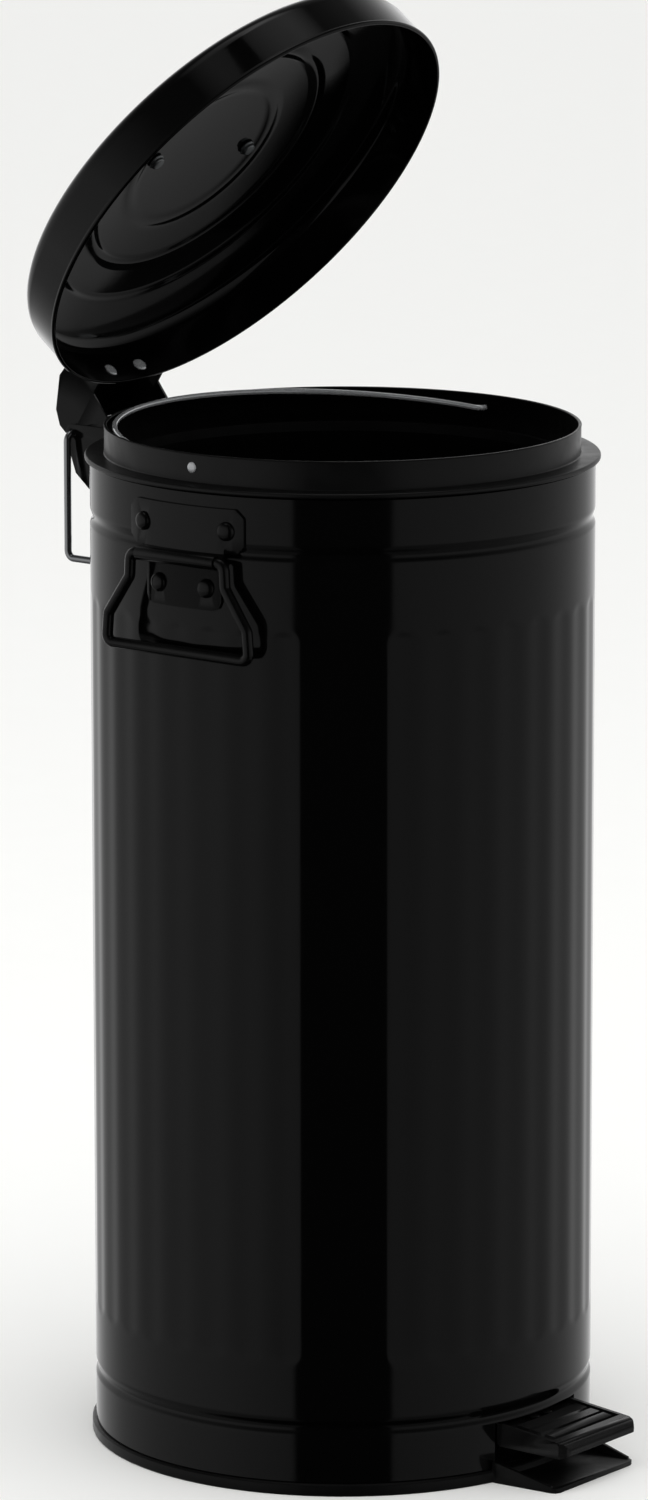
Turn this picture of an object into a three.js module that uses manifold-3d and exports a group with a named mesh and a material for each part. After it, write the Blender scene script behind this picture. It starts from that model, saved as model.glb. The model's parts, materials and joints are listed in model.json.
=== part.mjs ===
// Tall pedal bin: fluted steel shell, lift-out inner bucket, hinged lid, pedal and lift rod.
// Millimetres. +Z up, origin at the centre of the base on the floor, pedal towards -Y, hinge at +Y.
import * as THREE from "three";
import { mergeVertices } from "three/addons/utils/BufferGeometryUtils.js";
import Module from "manifold-3d";

const wasm = await Module();
wasm.setup();

// ---------------------------------------------------------------- driving sizes
const bodyRadius = 147; // outside of the shell
const bodyTop = 582.4; // top edge of the shell, under the bucket's flange
const sheet = 1.0; // thickness of the shell's steel
const touchGap = 0.3; // between pieces that touch
const openAngle = 51.7; // how far the lid stands open at rest, degrees

// Shell: flutes and grooves
const fluteCount = 40;
const fluteSteps = 3; // columns of faces across one flute
const fluteDepth = 0.6;
const fluteTop = bodyTop - 74.4;
const fluteBottom = 76;
const fluteEnd = 8; // height of a flute's rounded end
const grooveDepth = 2.6;
const grooveUnder = 4; // from a groove's lower edge to its middle
const grooveOver = 7; // from its middle to its upper edge
const upperGroove = bodyTop - 32.8; // height of the deepest line
const lowerGroove = 39.2;
const ringSteps = 160; // faces round a ring that a curved sheet is cut from

// Base
const baseRadius = bodyRadius + 2.3;
const baseHeight = 7.2;
const baseFloor = 3;
const baseRim = 7.8; // width of the raised rim
const tongueReach = bodyRadius + 39; // from the centre to the tongue's tip
const tongueRoot = 42; // half width at the base
const tongueTip = 38.6; // half width at the tip
const tongueFlange = 12; // height of the side flange at its root
const tongueFlangeWall = 2.2;
const tongueThick = 2.8;
const tongueCorner = 4;

// Inner bucket
const collarRadius = bodyRadius - 8.5;
const flangeRadius = bodyRadius + 3;
const flangeUnder = bodyTop + touchGap + 0.5;
const flangeTop = flangeUnder + 3.2;
const collarTop = flangeTop + 16.8;
const bucketRadius = bodyRadius - 16;
const bucketBottomRadius = bodyRadius - 21;
const bucketBottom = 60;
const bucketWall = 1.2;
const bailPivotHeight = flangeTop + 8.6;
const bailWire = 1.7; // radius of the bucket bail's wire
const bailArch = collarRadius - bucketWall - bailWire - 3.2; // radius of its centre line
const bailLean = 3.6; // the folded bail's rise above level, degrees
const bailHole = 0.4; // clearance round the wire in the collar

// Lid, sizes taken with the lid closed
const lidRim = flangeTop + 0.9; // height of the lid's lower edge
const lidRadius = collarRadius + 3.3;
const lidWall = 1.2;
const lidSkirt = 30;
const lidBead = 1.3; // radius of the rolled edge
const shoulderRadius = lidRadius - 31.8;
const shoulderRise = lidSkirt + 7.5;
const stepRise = lidSkirt + 9.6;
const grooveRadius = lidRadius - 58.8; // of the ring pressed round the dome
const grooveRise = lidSkirt + 11.5;
const knobSpacing = 84; // between the two legs of the lid's handle
const innerGrooveRadius = knobSpacing / 2 + 11;
const innerGrooveRise = lidSkirt + 14.5;
const domeRise = lidSkirt + 16;
const knobRod = 4.6;
const knobHeight = 27;
const knobBend = 13;
const screwShank = 2.0;
const screwHole = 2.4;

// Hinge
const hingeStandoff = 29; // from the shell to the hinge axis
const hingeY = bodyRadius + hingeStandoff;
const hingeZ = bodyTop + 1.6;
const hingeWire = 2.2; // radius of the wire that is the hinge pin
const hingeBore = 2.6;
const lidEarX = 29; // inner side of each lid ear
const bodyEarX = 33;
const earSheet = 1.5;
const wireLegX = 39;
const wireDrop = 74; // from the hinge axis down to the wire's feet
const wireFootZ = hingeZ - wireDrop;
const lifterReach = 20; // from the hinge axis to the lifter pin
const lifterPin = 2;
const lifterAngle = openAngle / 2; // below level when the lid is closed, above it when open
const rodRise = 2 * lifterReach * Math.sin(rad(lifterAngle));
const bracketLow = bodyTop - 41.4;
const bracketHigh = bodyTop - 1.4;
const bracketRivetZ = bodyTop - 15.4;
const bracketRivetX = 16;

// Side handles
const plateSheet = 1.5;
const plateInner = bodyRadius + touchGap;
const upperPlateTop = bodyTop - 7.4;
const upperPlateBottom = bodyTop - 33.4;
const upperPlateHalf = 41;
const upperPlateChamfer = 5;
const lowerPlateBottom = bodyTop - 66.4;
const lowerPlateHalf = 27;
const barrelHeight = bodyTop - 37.4;
const barrelHalf = 28.5;
const barrelRadius = 4.3;
const barrelBore = 3.6;
const barrelX = bodyRadius + 5.4;
const handleRod = 3.25;
const handleTopHalf = 34;
const handleBottomHalf = 52;
const handleBottom = barrelHeight - 54;
const upperRivetY = 30;
const upperRivetZ = bodyTop - 20.1;
const lowerRivetY = 17;
const lowerRivetZ = bodyTop - 53.9;
const rivetHead = 4.8;
const rivetHeadHeight = 2.8;
const rivetShank = 1.9;
const rivetHole = 2.2;

// Pedal and lift rod
const pedalPivotY = 16 - bodyRadius * 0.32;
const pedalPivotZ = 20.5;
const axleRadius = 3;
const axleBore = 3.4;
const axleHalf = 22;
const leverHalf = 11;
const leverLow = 24.3;
const leverThick = 2.8;
const padBack = -(bodyRadius - 6.4);
const padReach = 44; // of the pad's nose beyond the shell
const padNose = -(bodyRadius + padReach);
const padHalf = 35;
const padTop = 31.4; // of the middle of its length
const padSkin = 3.4;
const padDeep = 11.4;
const rodRadius = 2.5;
const rodY = bodyRadius - 10;
const rodOuterY = hingeY - lifterReach * Math.cos(rad(lifterAngle));
const rodBend = hingeZ - 49;
const openingHalf = 38.5;
const openingTop = 34.6;

// ---------------------------------------------------------------- materials
const material = (name, color, roughness, metalness) => {
  const made = new THREE.MeshStandardMaterial({ color, roughness, metalness });
  made.name = name;
  return made;
};
const blackPaint = () => material("black_gloss_paint", 0x0a0a0b, 0.22, 0.25);
const chrome = () => material("chrome_wire", 0xd4d6d8, 0.15, 1);
const blackPlastic = () => material("black_moulded_plastic", 0x101011, 0.5, 0);
const plainSteel = () => material("zinc_steel", 0xa9abad, 0.4, 0.9);

// ---------------------------------------------------------------- helpers
function rad(degrees) {
  return (degrees * Math.PI) / 180;
}

// A geometry as a manifold solid, with its faces turned outwards.
function solid(geometry) {
  const plain = new THREE.BufferGeometry();
  const source = geometry.index ? geometry.toNonIndexed() : geometry;
  plain.setAttribute("position", source.getAttribute("position").clone());
  const merged = mergeVertices(plain, 1e-3);
  const corners = new Uint32Array(merged.index.array);
  const build = () =>
    new wasm.Manifold(
      new wasm.Mesh({
        numProp: 3,
        vertProperties: new Float32Array(merged.attributes.position.array),
        triVerts: corners,
      }),
    );
  let made = build();
  if (made.volume() < 0) {
    for (let i = 0; i < corners.length; i += 3) {
      [corners[i], corners[i + 1]] = [corners[i + 1], corners[i]];
    }
    made = build();
  }
  return made;
}

function toGeometry(made) {
  const mesh = made.getMesh();
  const geometry = new THREE.BufferGeometry();
  const points = new Float32Array(mesh.numVert * 3);
  for (let i = 0; i < mesh.numVert; i += 1) {
    for (let k = 0; k < 3; k += 1) {
      points[3 * i + k] = mesh.vertProperties[mesh.numProp * i + k];
    }
  }
  geometry.setAttribute("position", new THREE.BufferAttribute(points, 3));
  geometry.setIndex(new THREE.BufferAttribute(new Uint32Array(mesh.triVerts), 1));
  return geometry;
}

// A profile of [radius, height] points spun about the Z axis.
function lathe(profile, segments) {
  const points = profile.map(([r, z]) => new THREE.Vector2(r, z));
  return solid(new THREE.LatheGeometry(points, segments).rotateX(Math.PI / 2));
}

// A ring with a rectangular section.
function ring(inner, outer, low, high, segments) {
  return lathe(
    [
      [inner, low],
      [outer, low],
      [outer, high],
      [inner, high],
      [inner, low],
    ],
    segments,
  );
}

function box(lowX, highX, lowY, highY, lowZ, highZ) {
  const made = new THREE.BoxGeometry(highX - lowX, highY - lowY, highZ - lowZ);
  made.translate((lowX + highX) / 2, (lowY + highY) / 2, (lowZ + highZ) / 2);
  return solid(made);
}

function outline(points) {
  return new THREE.Shape(points.map(([a, b]) => new THREE.Vector2(a, b)));
}

// A [y, z] outline pushed along X from lowX to highX.
function slabAlongX(points, lowX, highX) {
  const made = new THREE.ExtrudeGeometry(outline(points), {
    depth: highX - lowX,
    bevelEnabled: false,
    curveSegments: 6,
  });
  const turn = new THREE.Matrix4().makeBasis(
    new THREE.Vector3(0, 1, 0),
    new THREE.Vector3(0, 0, 1),
    new THREE.Vector3(1, 0, 0),
  );
  made.applyMatrix4(turn);
  made.translate(lowX, 0, 0);
  return solid(made);
}

// An [x, y] outline pushed along Z from low to high.
function slabAlongZ(points, low, high) {
  const made = new THREE.ExtrudeGeometry(outline(points), {
    depth: high - low,
    bevelEnabled: false,
    curveSegments: 6,
  });
  made.translate(0, 0, low);
  return solid(made);
}

// A cylinder along X, Y or Z.
function bar(axis, radius, from, to, a, b, segments = 20) {
  const made = new THREE.CylinderGeometry(radius, radius, to - from, segments);
  const middle = (from + to) / 2;
  if (axis === "x") made.rotateZ(Math.PI / 2).translate(middle, a, b);
  if (axis === "y") made.translate(a, middle, b);
  if (axis === "z") made.rotateX(Math.PI / 2).translate(a, b, middle);
  return solid(made);
}

// The centre line of a bent wire, through exactly the listed points.
class WireRoute extends THREE.Curve {
  constructor(points) {
    super();
    this.points = points;
  }

  getPointAt(u) {
    const last = this.points.length - 1;
    const place = Math.min(Math.max(u, 0), 1) * last;
    const start = Math.min(Math.floor(place), last - 1);
    return this.points[start].clone().lerp(this.points[start + 1], place - start);
  }

  getPoint(t) {
    return this.getPointAt(t);
  }

  getSpacedPoints() {
    return this.points.map((point) => point.clone());
  }

  getTangentAt(u) {
    const last = this.points.length - 1;
    const index = Math.round(u * last);
    const before = this.points[Math.max(index - 1, 0)];
    const here = this.points[index];
    const after = this.points[Math.min(index + 1, last)];
    const arriving = here.clone().sub(before);
    const leaving = after.clone().sub(here);
    if (index === 0) arriving.copy(leaving);
    if (index === last) leaving.copy(arriving);
    return arriving.normalize().add(leaving.normalize()).normalize();
  }
}

// Corner points joined by straight runs, each inner corner rounded to its bend radius.
function bentRoute(corners, bend, steps = 4) {
  const route = [corners[0].clone()];
  for (let i = 1; i < corners.length - 1; i += 1) {
    const arriving = corners[i].clone().sub(corners[i - 1]).normalize();
    const leaving = corners[i + 1].clone().sub(corners[i]).normalize();
    const turn = arriving.angleTo(leaving);
    const setback = bend * Math.tan(turn / 2);
    const inward = leaving.clone().sub(arriving).normalize();
    const centre = corners[i].clone().addScaledVector(inward, bend / Math.cos(turn / 2));
    const from = corners[i].clone().addScaledVector(arriving, -setback);
    const normal = arriving.clone().cross(leaving).normalize();
    for (let k = 0; k <= steps; k += 1) {
      const spoke = from.clone().sub(centre).applyAxisAngle(normal, (turn * k) / steps);
      route.push(centre.clone().add(spoke));
    }
  }
  route.push(corners[corners.length - 1].clone());
  return route;
}

function wire(points, radius, sides = 10) {
  const section = new THREE.Shape();
  for (let i = 0; i < sides; i += 1) {
    const turn = (2 * Math.PI * i) / sides;
    const [a, b] = [radius * Math.cos(turn), radius * Math.sin(turn)];
    if (i === 0) section.moveTo(a, b);
    else section.lineTo(a, b);
  }
  section.closePath();
  return solid(
    new THREE.ExtrudeGeometry(section, {
      steps: points.length - 1,
      extrudePath: new WireRoute(points),
      bevelEnabled: false,
    }),
  );
}

const at = (x, y, z) => new THREE.Vector3(x, y, z);

// A rivet that points out along +X from the surface at radius 0: [radius, distance] profile.
function rivet(profile, segments = 14) {
  const points = profile.map(([r, out]) => new THREE.Vector2(r, out));
  return new THREE.LatheGeometry(points, segments).rotateZ(-Math.PI / 2);
}

// Domed head outside, shank through the sheets, flat upset end inside.
function domedProfile(head, rise, shank, inside, endHead) {
  return [
    [0, rise],
    [head * 0.55, rise * 0.85],
    [head, 0],
    [shank, 0],
    [shank, -inside],
    [endHead, -inside],
    [endHead, -inside - 1],
    [0, -inside - 1],
  ];
}

// Places a piece made about +X at an angle round the Z axis and a height.
function placeRound(geometry, radius, angle, height) {
  geometry.translate(radius, 0, height);
  geometry.rotateZ(angle);
  return solid(geometry);
}

const root = new THREE.Group();
root.name = "pedal_bin";

function addPiece(name, made, look) {
  const mesh = new THREE.Mesh(toGeometry(made), look);
  mesh.name = name;
  root.add(mesh);
}

// The lid's parts are made closed and turned open about the hinge axis.
const openTurn = new THREE.Matrix4()
  .makeTranslation(0, hingeY, hingeZ)
  .multiply(new THREE.Matrix4().makeRotationX(-rad(openAngle)))
  .multiply(new THREE.Matrix4().makeTranslation(0, -hingeY, -hingeZ));

function addLidPiece(name, made, look) {
  const geometry = toGeometry(made);
  geometry.applyMatrix4(openTurn);
  const mesh = new THREE.Mesh(geometry, look);
  mesh.name = name;
  root.add(mesh);
}

// ---------------------------------------------------------------- shell
const shellRows = [
  [baseHeight + touchGap, 0, 0],
  [lowerGroove - grooveUnder, 0, 0],
  [lowerGroove - 0.8, 1, 0],
  [lowerGroove + grooveOver, 0, 0],
  [fluteBottom, 0, 0],
  [fluteBottom + fluteEnd, 0, 1],
  [fluteTop - fluteEnd, 0, 1],
  [fluteTop, 0, 0],
  [upperGroove - grooveUnder, 0, 0],
  [upperGroove - 0.8, 1, 0],
  [upperGroove + grooveOver, 0, 0],
  [bodyTop, 0, 0],
];

function shellGeometry() {
  const columns = fluteCount * fluteSteps;
  const hollow = (column) => Math.sin((Math.PI * (column % fluteSteps)) / fluteSteps);
  const radiusAt = (row, column) =>
    bodyRadius - row[1] * grooveDepth - row[2] * fluteDepth * hollow(column);
  const loop = [];
  for (const row of shellRows) loop.push([row, 0]);
  for (const row of [...shellRows].reverse()) loop.push([row, sheet]);
  const points = [];
  for (const [row, inset] of loop) {
    for (let column = 0; column < columns; column += 1) {
      const turn = (2 * Math.PI * column) / columns;
      const radius = radiusAt(row, column) - inset;
      points.push(radius * Math.cos(turn), radius * Math.sin(turn), row[0]);
    }
  }
  const faces = [];
  for (let i = 0; i < loop.length; i += 1) {
    const next = (i + 1) % loop.length;
    for (let column = 0; column < columns; column += 1) {
      const right = (column + 1) % columns;
      const a = i * columns + column;
      const b = i * columns + right;
      const c = next * columns + right;
      const d = next * columns + column;
      faces.push(a, b, c, a, c, d);
    }
  }
  const geometry = new THREE.BufferGeometry();
  geometry.setAttribute("position", new THREE.BufferAttribute(new Float32Array(points), 3));
  geometry.setIndex(faces);
  return geometry;
}

const handleSides = [
  ["left", Math.PI],
  ["right", 0],
];
// The angle at the centre of a point this far along the shell, in degrees.
const along = (distance) => ((distance / bodyRadius) * 180) / Math.PI;
const handleRivets = [
  [along(upperRivetY), upperRivetZ],
  [-along(upperRivetY), upperRivetZ],
  [along(lowerRivetY), lowerRivetZ],
  [-along(lowerRivetY), lowerRivetZ],
];
const bracketRivets = [
  [along(bracketRivetX), bracketRivetZ],
  [-along(bracketRivetX), bracketRivetZ],
];

// A short cutter through a sheet at the shell's radius, for a rivet.
function rivetCutter(radius, angle, height) {
  const hole = new THREE.CylinderGeometry(rivetHole, rivetHole, 14, 12);
  hole.rotateZ(Math.PI / 2);
  return placeRound(hole, radius, angle, height);
}

let shell = solid(shellGeometry());
shell = shell.subtract(
  box(-openingHalf, openingHalf, -bodyRadius - 5, -bodyRadius + 14, 0, openingTop),
);
const slotLow = rodBend - rodRadius - 1.5;
const slotHigh = rodBend + rodRadius + rodRise + 2.5;
shell = shell.subtract(box(-3.8, 3.8, bodyRadius - 8, bodyRadius + 5, slotLow, slotHigh));
for (const [, turn] of handleSides) {
  for (const [angle, height] of handleRivets) {
    shell = shell.subtract(rivetCutter(bodyRadius, turn + rad(angle), height));
  }
}
for (const [angle, height] of bracketRivets) {
  shell = shell.subtract(rivetCutter(bodyRadius, rad(90 + angle), height));
}
for (const side of [-1, 1]) {
  const from = bodyRadius - 17;
  shell = shell.subtract(
    bar("y", hingeBore, from, bodyRadius + 3, side * wireLegX, wireFootZ, 14),
  );
}
addPiece("body_shell", shell, blackPaint());

// ---------------------------------------------------------------- base
let base = lathe(
  [
    [0, 0],
    [baseRadius - 0.8, 0],
    [baseRadius, 0.8],
    [baseRadius, baseHeight - 1],
    [baseRadius - 1, baseHeight],
    [baseRadius - baseRim, baseHeight],
    [baseRadius - baseRim, baseFloor],
    [0, baseFloor],
  ],
  96,
);
// Where the tongue's sides leave the shell, just outside it.
const tongueBack = -Math.sqrt((bodyRadius - 1) ** 2 - tongueRoot ** 2);
const tongueShoulder = tongueBack - 6;
const flangeBack = -Math.sqrt((bodyRadius + 0.7) ** 2 - (tongueRoot - tongueFlangeWall) ** 2);
const tongueHalf = [
  [tongueRoot, tongueBack],
  [tongueRoot, tongueShoulder],
  [tongueTip, -tongueReach + tongueCorner],
  [tongueTip - 0.3 * tongueCorner, -tongueReach + 0.3 * tongueCorner],
  [tongueTip - tongueCorner, -tongueReach],
];
const tonguePlate = slabAlongZ(
  [...tongueHalf.map(([x, y]) => [-x, y]), ...[...tongueHalf].reverse()],
  0,
  tongueThick,
);
base = base.add(tonguePlate);
for (const side of [-1, 1]) {
  const wall = slabAlongZ(
    [
      [side * (tongueRoot - tongueFlangeWall), tongueBack],
      [side * (tongueTip - tongueFlangeWall), -tongueReach + tongueCorner],
      [side * tongueTip, -tongueReach + tongueCorner],
      [side * tongueRoot, tongueShoulder],
      [side * tongueRoot, tongueBack],
    ],
    0.5,
    tongueFlange,
  );
  const taper = slabAlongX(
    [
      [tongueBack, 0],
      [-tongueReach, 0],
      [-tongueReach, tongueThick],
      [tongueShoulder, tongueFlange],
      [flangeBack, tongueFlange],
      [flangeBack, baseHeight - 0.2],
      [tongueBack, baseHeight - 1],
    ],
    -tongueRoot - 10,
    tongueRoot + 10,
  );
  base = base.add(wall.intersect(taper));
}
addPiece("base", base, blackPlastic());

// ---------------------------------------------------------------- pedal axle stand
const standPlate = box(-axleHalf - 1, axleHalf + 1, pedalPivotY - 12, pedalPivotY + 12,
  baseFloor + touchGap, baseFloor + touchGap + 1.8);
let stand = standPlate;
for (const side of [-1, 1]) {
  const inner = side * (axleHalf - 5);
  const outer = side * (axleHalf - 3);
  const cheek = slabAlongX(
    [
      [pedalPivotY - 9, baseFloor + touchGap + 0.5],
      [pedalPivotY + 9, baseFloor + touchGap + 0.5],
      [pedalPivotY + 5, pedalPivotZ + 5],
      [pedalPivotY - 5, pedalPivotZ + 5],
    ],
    Math.min(inner, outer),
    Math.max(inner, outer),
  );
  stand = stand.add(cheek);
}
stand = stand.subtract(bar("x", axleBore, -40, 40, pedalPivotY, pedalPivotZ, 18));
addPiece("axle_stand", stand, plainSteel());
const axleEndHead = 5;
let axle = bar("x", axleRadius, -axleHalf, axleHalf, pedalPivotY, pedalPivotZ, 18);
for (const side of [-1, 1]) {
  const from = side * (axleHalf - 2.6);
  const to = side * axleHalf;
  axle = axle.add(
    bar("x", axleEndHead, Math.min(from, to), Math.max(from, to), pedalPivotY, pedalPivotZ, 18),
  );
}
addPiece("pedal_axle", axle, plainSteel());

// ---------------------------------------------------------------- pedal and lever
// The pad's top: three ribs, then the rounded nose. Distances are fractions of its length.
const padLength = padBack - padNose;
const padRibs = [0.36, 0.54, 0.72]; // where each rib ends and a channel begins
const padChannel = 2.6; // width of the channels between the ribs
const padSunk = 1.8; // depth of the channels
const padPocket = 0.2; // the ribs begin this far along, in front of a sunk pocket
const padRimWide = 2.4; // width of the rim at each side
const padRibInset = 6.5; // from the side to the ribs' ends
const padRise = 2.4; // of the top's rear edge above its middle
const padFall = 1.6; // of the nose below it
const padLevel = (y) => padTop + padRise - ((padRise + padFall) * (padBack - y)) / (padLength - 7);
const padProfile = [
  [padBack, padLevel(padBack)],
  [padNose + 7, padTop - padFall],
  [padNose + 3, padTop - 2.6],
  [padNose + 0.6, padTop - 5],
  [padNose, padTop - 7],
  [padNose + 0.8, padTop - 9.4],
  [padNose + 3.4, padTop - padDeep + 0.4],
  [padNose + 6.4, padTop - padDeep],
  [padBack - 2, padTop - padDeep],
  [padBack, padTop - padDeep + 1.4],
];
let pad = slabAlongX(padProfile, -padHalf, padHalf);
const padHollow = slabAlongX(
  [
    [padBack + 1, padTop - padSkin - 1],
    [padNose + 6.6, padTop - padSkin - 1],
    [padNose + 6.6, padTop - 20],
    [padBack + 1, padTop - 20],
  ],
  -padHalf + 3,
  padHalf - 3,
);
pad = pad.subtract(padHollow);
const alongPad = (share) => padBack - share * padLength;
const sideFront = alongPad(padRibs[padRibs.length - 1]) - padChannel;
const rimInner = padHalf - padRimWide;
const ribEnd = padHalf - padRibInset;
const sunkArea = (lowX, highX, front, rear) => {
  const corners = [
    [front, padLevel(front) - padSunk],
    [rear, padLevel(rear) - padSunk],
    [rear, 60],
    [front, 60],
  ];
  return slabAlongX(corners, lowX, highX);
};
pad = pad.subtract(sunkArea(-rimInner, rimInner, alongPad(padPocket), padBack + 1));
for (const share of padRibs) {
  const start = alongPad(share);
  pad = pad.subtract(sunkArea(-rimInner, rimInner, start - padChannel, start));
}
for (const side of [-1, 1]) {
  const from = Math.min(side * ribEnd, side * rimInner);
  const to = Math.max(side * ribEnd, side * rimInner);
  pad = pad.subtract(sunkArea(from, to, sideFront, padBack + 1));
}
for (const side of [-1, 1]) {
  const trim = slabAlongZ(
    [
      [side * (padHalf + 1), padNose - 1],
      [side * (padHalf - 5), padNose - 1],
      [side * (padHalf - 1.8), padNose + 2.2],
      [side * padHalf, padNose + 6],
      [side * (padHalf + 1), padNose + 6],
    ],
    0,
    60,
  );
  pad = pad.subtract(trim);
}
const padRivetX = 6.2;
const padRivetY = alongPad(0.1);
for (const side of [-1, 1]) {
  pad = pad.subtract(bar("z", 2.2, 20, 60, side * padRivetX, padRivetY, 12));
}
addPiece("pedal_pad", pad, blackPlastic());

const leverFront = padNose + 8;
const leverRear = rodY + 5.6;
const padUnder = padTop - padSkin - 1 - touchGap;
const leverTop = Math.min(leverLow + leverThick, padUnder);
let lever = box(-leverHalf, leverHalf, leverFront, leverRear, leverLow, leverTop);
const eye = bar("x", axleBore + 2.4, -leverHalf, leverHalf, pedalPivotY, pedalPivotZ, 20);
lever = lever.add(eye);
lever = lever.subtract(bar("x", axleBore, -40, 40, pedalPivotY, pedalPivotZ, 18));
for (const side of [-1, 1]) {
  lever = lever.subtract(bar("z", 2.2, 10, 60, side * padRivetX, padRivetY, 12));
}
addPiece("pedal_lever", lever, plainSteel());

const rivetSeat = padLevel(padRivetY) - padSunk + touchGap + 0.2;
[-1, 1].forEach((side, index) => {
  const made = lathe(
    [
      [0, leverLow - 1.6],
      [3.6, leverLow - 1.6],
      [4.2, leverLow - touchGap],
      [1.9, leverLow - touchGap],
      [1.9, rivetSeat + 0.1],
      [3.4, rivetSeat + 0.1],
      [3, rivetSeat + 0.6],
      [0, rivetSeat + 0.8],
    ],
    14,
  );
  const name = `pad_rivet_${index === 0 ? "left" : "right"}`;
  addPiece(name, made.translate([side * padRivetX, padRivetY, 0]), plainSteel());
});

// ---------------------------------------------------------------- lift rod and its guide
const lifterZ = hingeZ - lifterReach * Math.sin(rad(lifterAngle));
const rodTop = lifterZ - lifterPin - 0.5;
const rod = wire(
  bentRoute(
    [
      at(0, rodY, leverTop + 0.5),
      at(0, rodY, rodBend),
      at(0, rodOuterY, rodBend),
      at(0, rodOuterY, rodTop),
    ],
    6,
  ),
  rodRadius,
  10,
);
addPiece("lift_rod", rod, plainSteel());
const guideHeight = 300;
const guideBack = bodyRadius - fluteDepth - sheet - touchGap - 0.3;
let guide = box(-8, 8, rodY - 4.6, guideBack, guideHeight - 5, guideHeight + 5);
guide = guide.subtract(bar("z", rodRadius + 0.5, guideHeight - 8, guideHeight + 8, 0, rodY, 14));
addPiece("rod_guide", guide, blackPlastic());

// ---------------------------------------------------------------- hinge bracket and wire
let bracket = ring(plateInner, plateInner + earSheet, bracketLow, bracketHigh, ringSteps);
const bracketHalf = bodyEarX + earSheet;
bracket = bracket.intersect(
  box(-bracketHalf, bracketHalf, bodyRadius - 30, bodyRadius + 30, bracketLow, bracketHigh),
);
// The height of the ear's root on the shell at this far from the middle.
const earRoot = Math.sqrt(plateInner ** 2 - bracketHalf ** 2);
for (const side of [-1, 1]) {
  const from = side * bodyEarX;
  const to = side * (bodyEarX + earSheet);
  const ear = slabAlongX(
    [
      [earRoot - 0.5, bracketLow],
      [earRoot + 7, bracketLow + 4],
      [hingeY - 12.5, hingeZ - 32],
      [hingeY - 2.5, hingeZ - 23.5],
      [hingeY + 4.6, hingeZ - 4],
      [hingeY + 4.6, hingeZ + 2.2],
      [hingeY + 2, hingeZ + 5.4],
      [flangeRadius - 1, hingeZ + 5.4],
      [flangeRadius - 2.4, hingeZ + 4.4],
      [flangeRadius - 2.4, bracketHigh],
      [earRoot - 0.5, bracketHigh],
    ],
    Math.min(from, to),
    Math.max(from, to),
  );
  const outside = ring(plateInner, bodyRadius + 110, bracketLow - 5, hingeZ + 36, ringSteps);
  bracket = bracket.add(ear.intersect(outside));
}
bracket = bracket.subtract(bar("x", hingeBore, -60, 60, hingeY, hingeZ, 18));
bracket = bracket.subtract(
  box(-4.6, 4.6, bodyRadius - 7, bodyRadius + 9, slotLow - 30, slotHigh),
);
for (const [angle, height] of bracketRivets) {
  bracket = bracket.subtract(rivetCutter(bodyRadius, rad(90 + angle), height));
}
addPiece("hinge_bracket", bracket, blackPaint());
bracketRivets.forEach(([angle, height], index) => {
  const inside = touchGap + earSheet + touchGap + sheet + touchGap;
  const profile = domedProfile(4.2, 1.9, rivetShank, inside, 3.6);
  const radius = plateInner + earSheet + touchGap;
  const made = placeRound(rivet(profile), radius, rad(90 + angle), height);
  addPiece(`bracket_rivet_${index === 0 ? "left" : "right"}`, made, plainSteel());
});

const footInside = bodyRadius - 10;
const hingeLoop = wire(
  bentRoute(
    [
      at(-wireLegX, footInside, wireFootZ),
      at(-wireLegX, hingeY, wireFootZ),
      at(-wireLegX, hingeY, hingeZ),
      at(wireLegX, hingeY, hingeZ),
      at(wireLegX, hingeY, wireFootZ),
      at(wireLegX, footInside, wireFootZ),
    ],
    4.5,
    5,
  ),
  hingeWire,
  12,
);
addPiece("hinge_wire", hingeLoop, chrome());

// ---------------------------------------------------------------- lid
const lidInner = lidRadius - lidWall;
const skinUnder = [
  [lidInner, 0.6],
  [lidInner, lidSkirt - 3],
  [lidInner - 3, lidSkirt],
  [shoulderRadius + 1, shoulderRise],
  [shoulderRadius - 2, stepRise],
  [grooveRadius + 5, grooveRise],
  [grooveRadius, grooveRise - 1.2],
  [grooveRadius - 4, grooveRise + 0.6],
  [innerGrooveRadius + 4, innerGrooveRise],
  [innerGrooveRadius, innerGrooveRise - 0.9],
  [innerGrooveRadius - 4, innerGrooveRise + 0.4],
  [0, domeRise],
];
const skinOver = [
  [0, domeRise + lidWall],
  [innerGrooveRadius - 3.6, innerGrooveRise + 0.4 + lidWall],
  [innerGrooveRadius, innerGrooveRise - 0.9 + lidWall],
  [innerGrooveRadius + 4.4, innerGrooveRise + lidWall],
  [grooveRadius - 3.6, grooveRise + 0.6 + lidWall],
  [grooveRadius, grooveRise - 1.2 + lidWall],
  [grooveRadius + 5.4, grooveRise + lidWall],
  [shoulderRadius - 1.4, stepRise + lidWall],
  [shoulderRadius + 1.8, shoulderRise + lidWall],
  [lidInner - 2.4, lidSkirt + lidWall],
  [lidRadius, lidSkirt - 2.4],
  [lidRadius, 2 * lidBead],
  [lidRadius + 1.1, lidBead],
  [lidRadius, 0],
  [lidInner + 0.4, 0],
];
const lidProfile = [...skinOver, ...skinUnder].map(([r, z]) => [r, z + lidRim]);
let lid = lathe(lidProfile, 72);
const lidRivets = [
  [along(14), lidRim + 9.5],
  [-along(14), lidRim + 9.5],
];
for (const [angle, height] of lidRivets) {
  lid = lid.subtract(rivetCutter(lidRadius, rad(90 + angle), height));
}
for (const side of [-1, 1]) {
  const x = (side * knobSpacing) / 2;
  lid = lid.subtract(bar("z", screwHole, lidRim + 30, lidRim + 60, x, 0, 14));
}
addLidPiece("lid_shell", lid, blackPaint());

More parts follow.
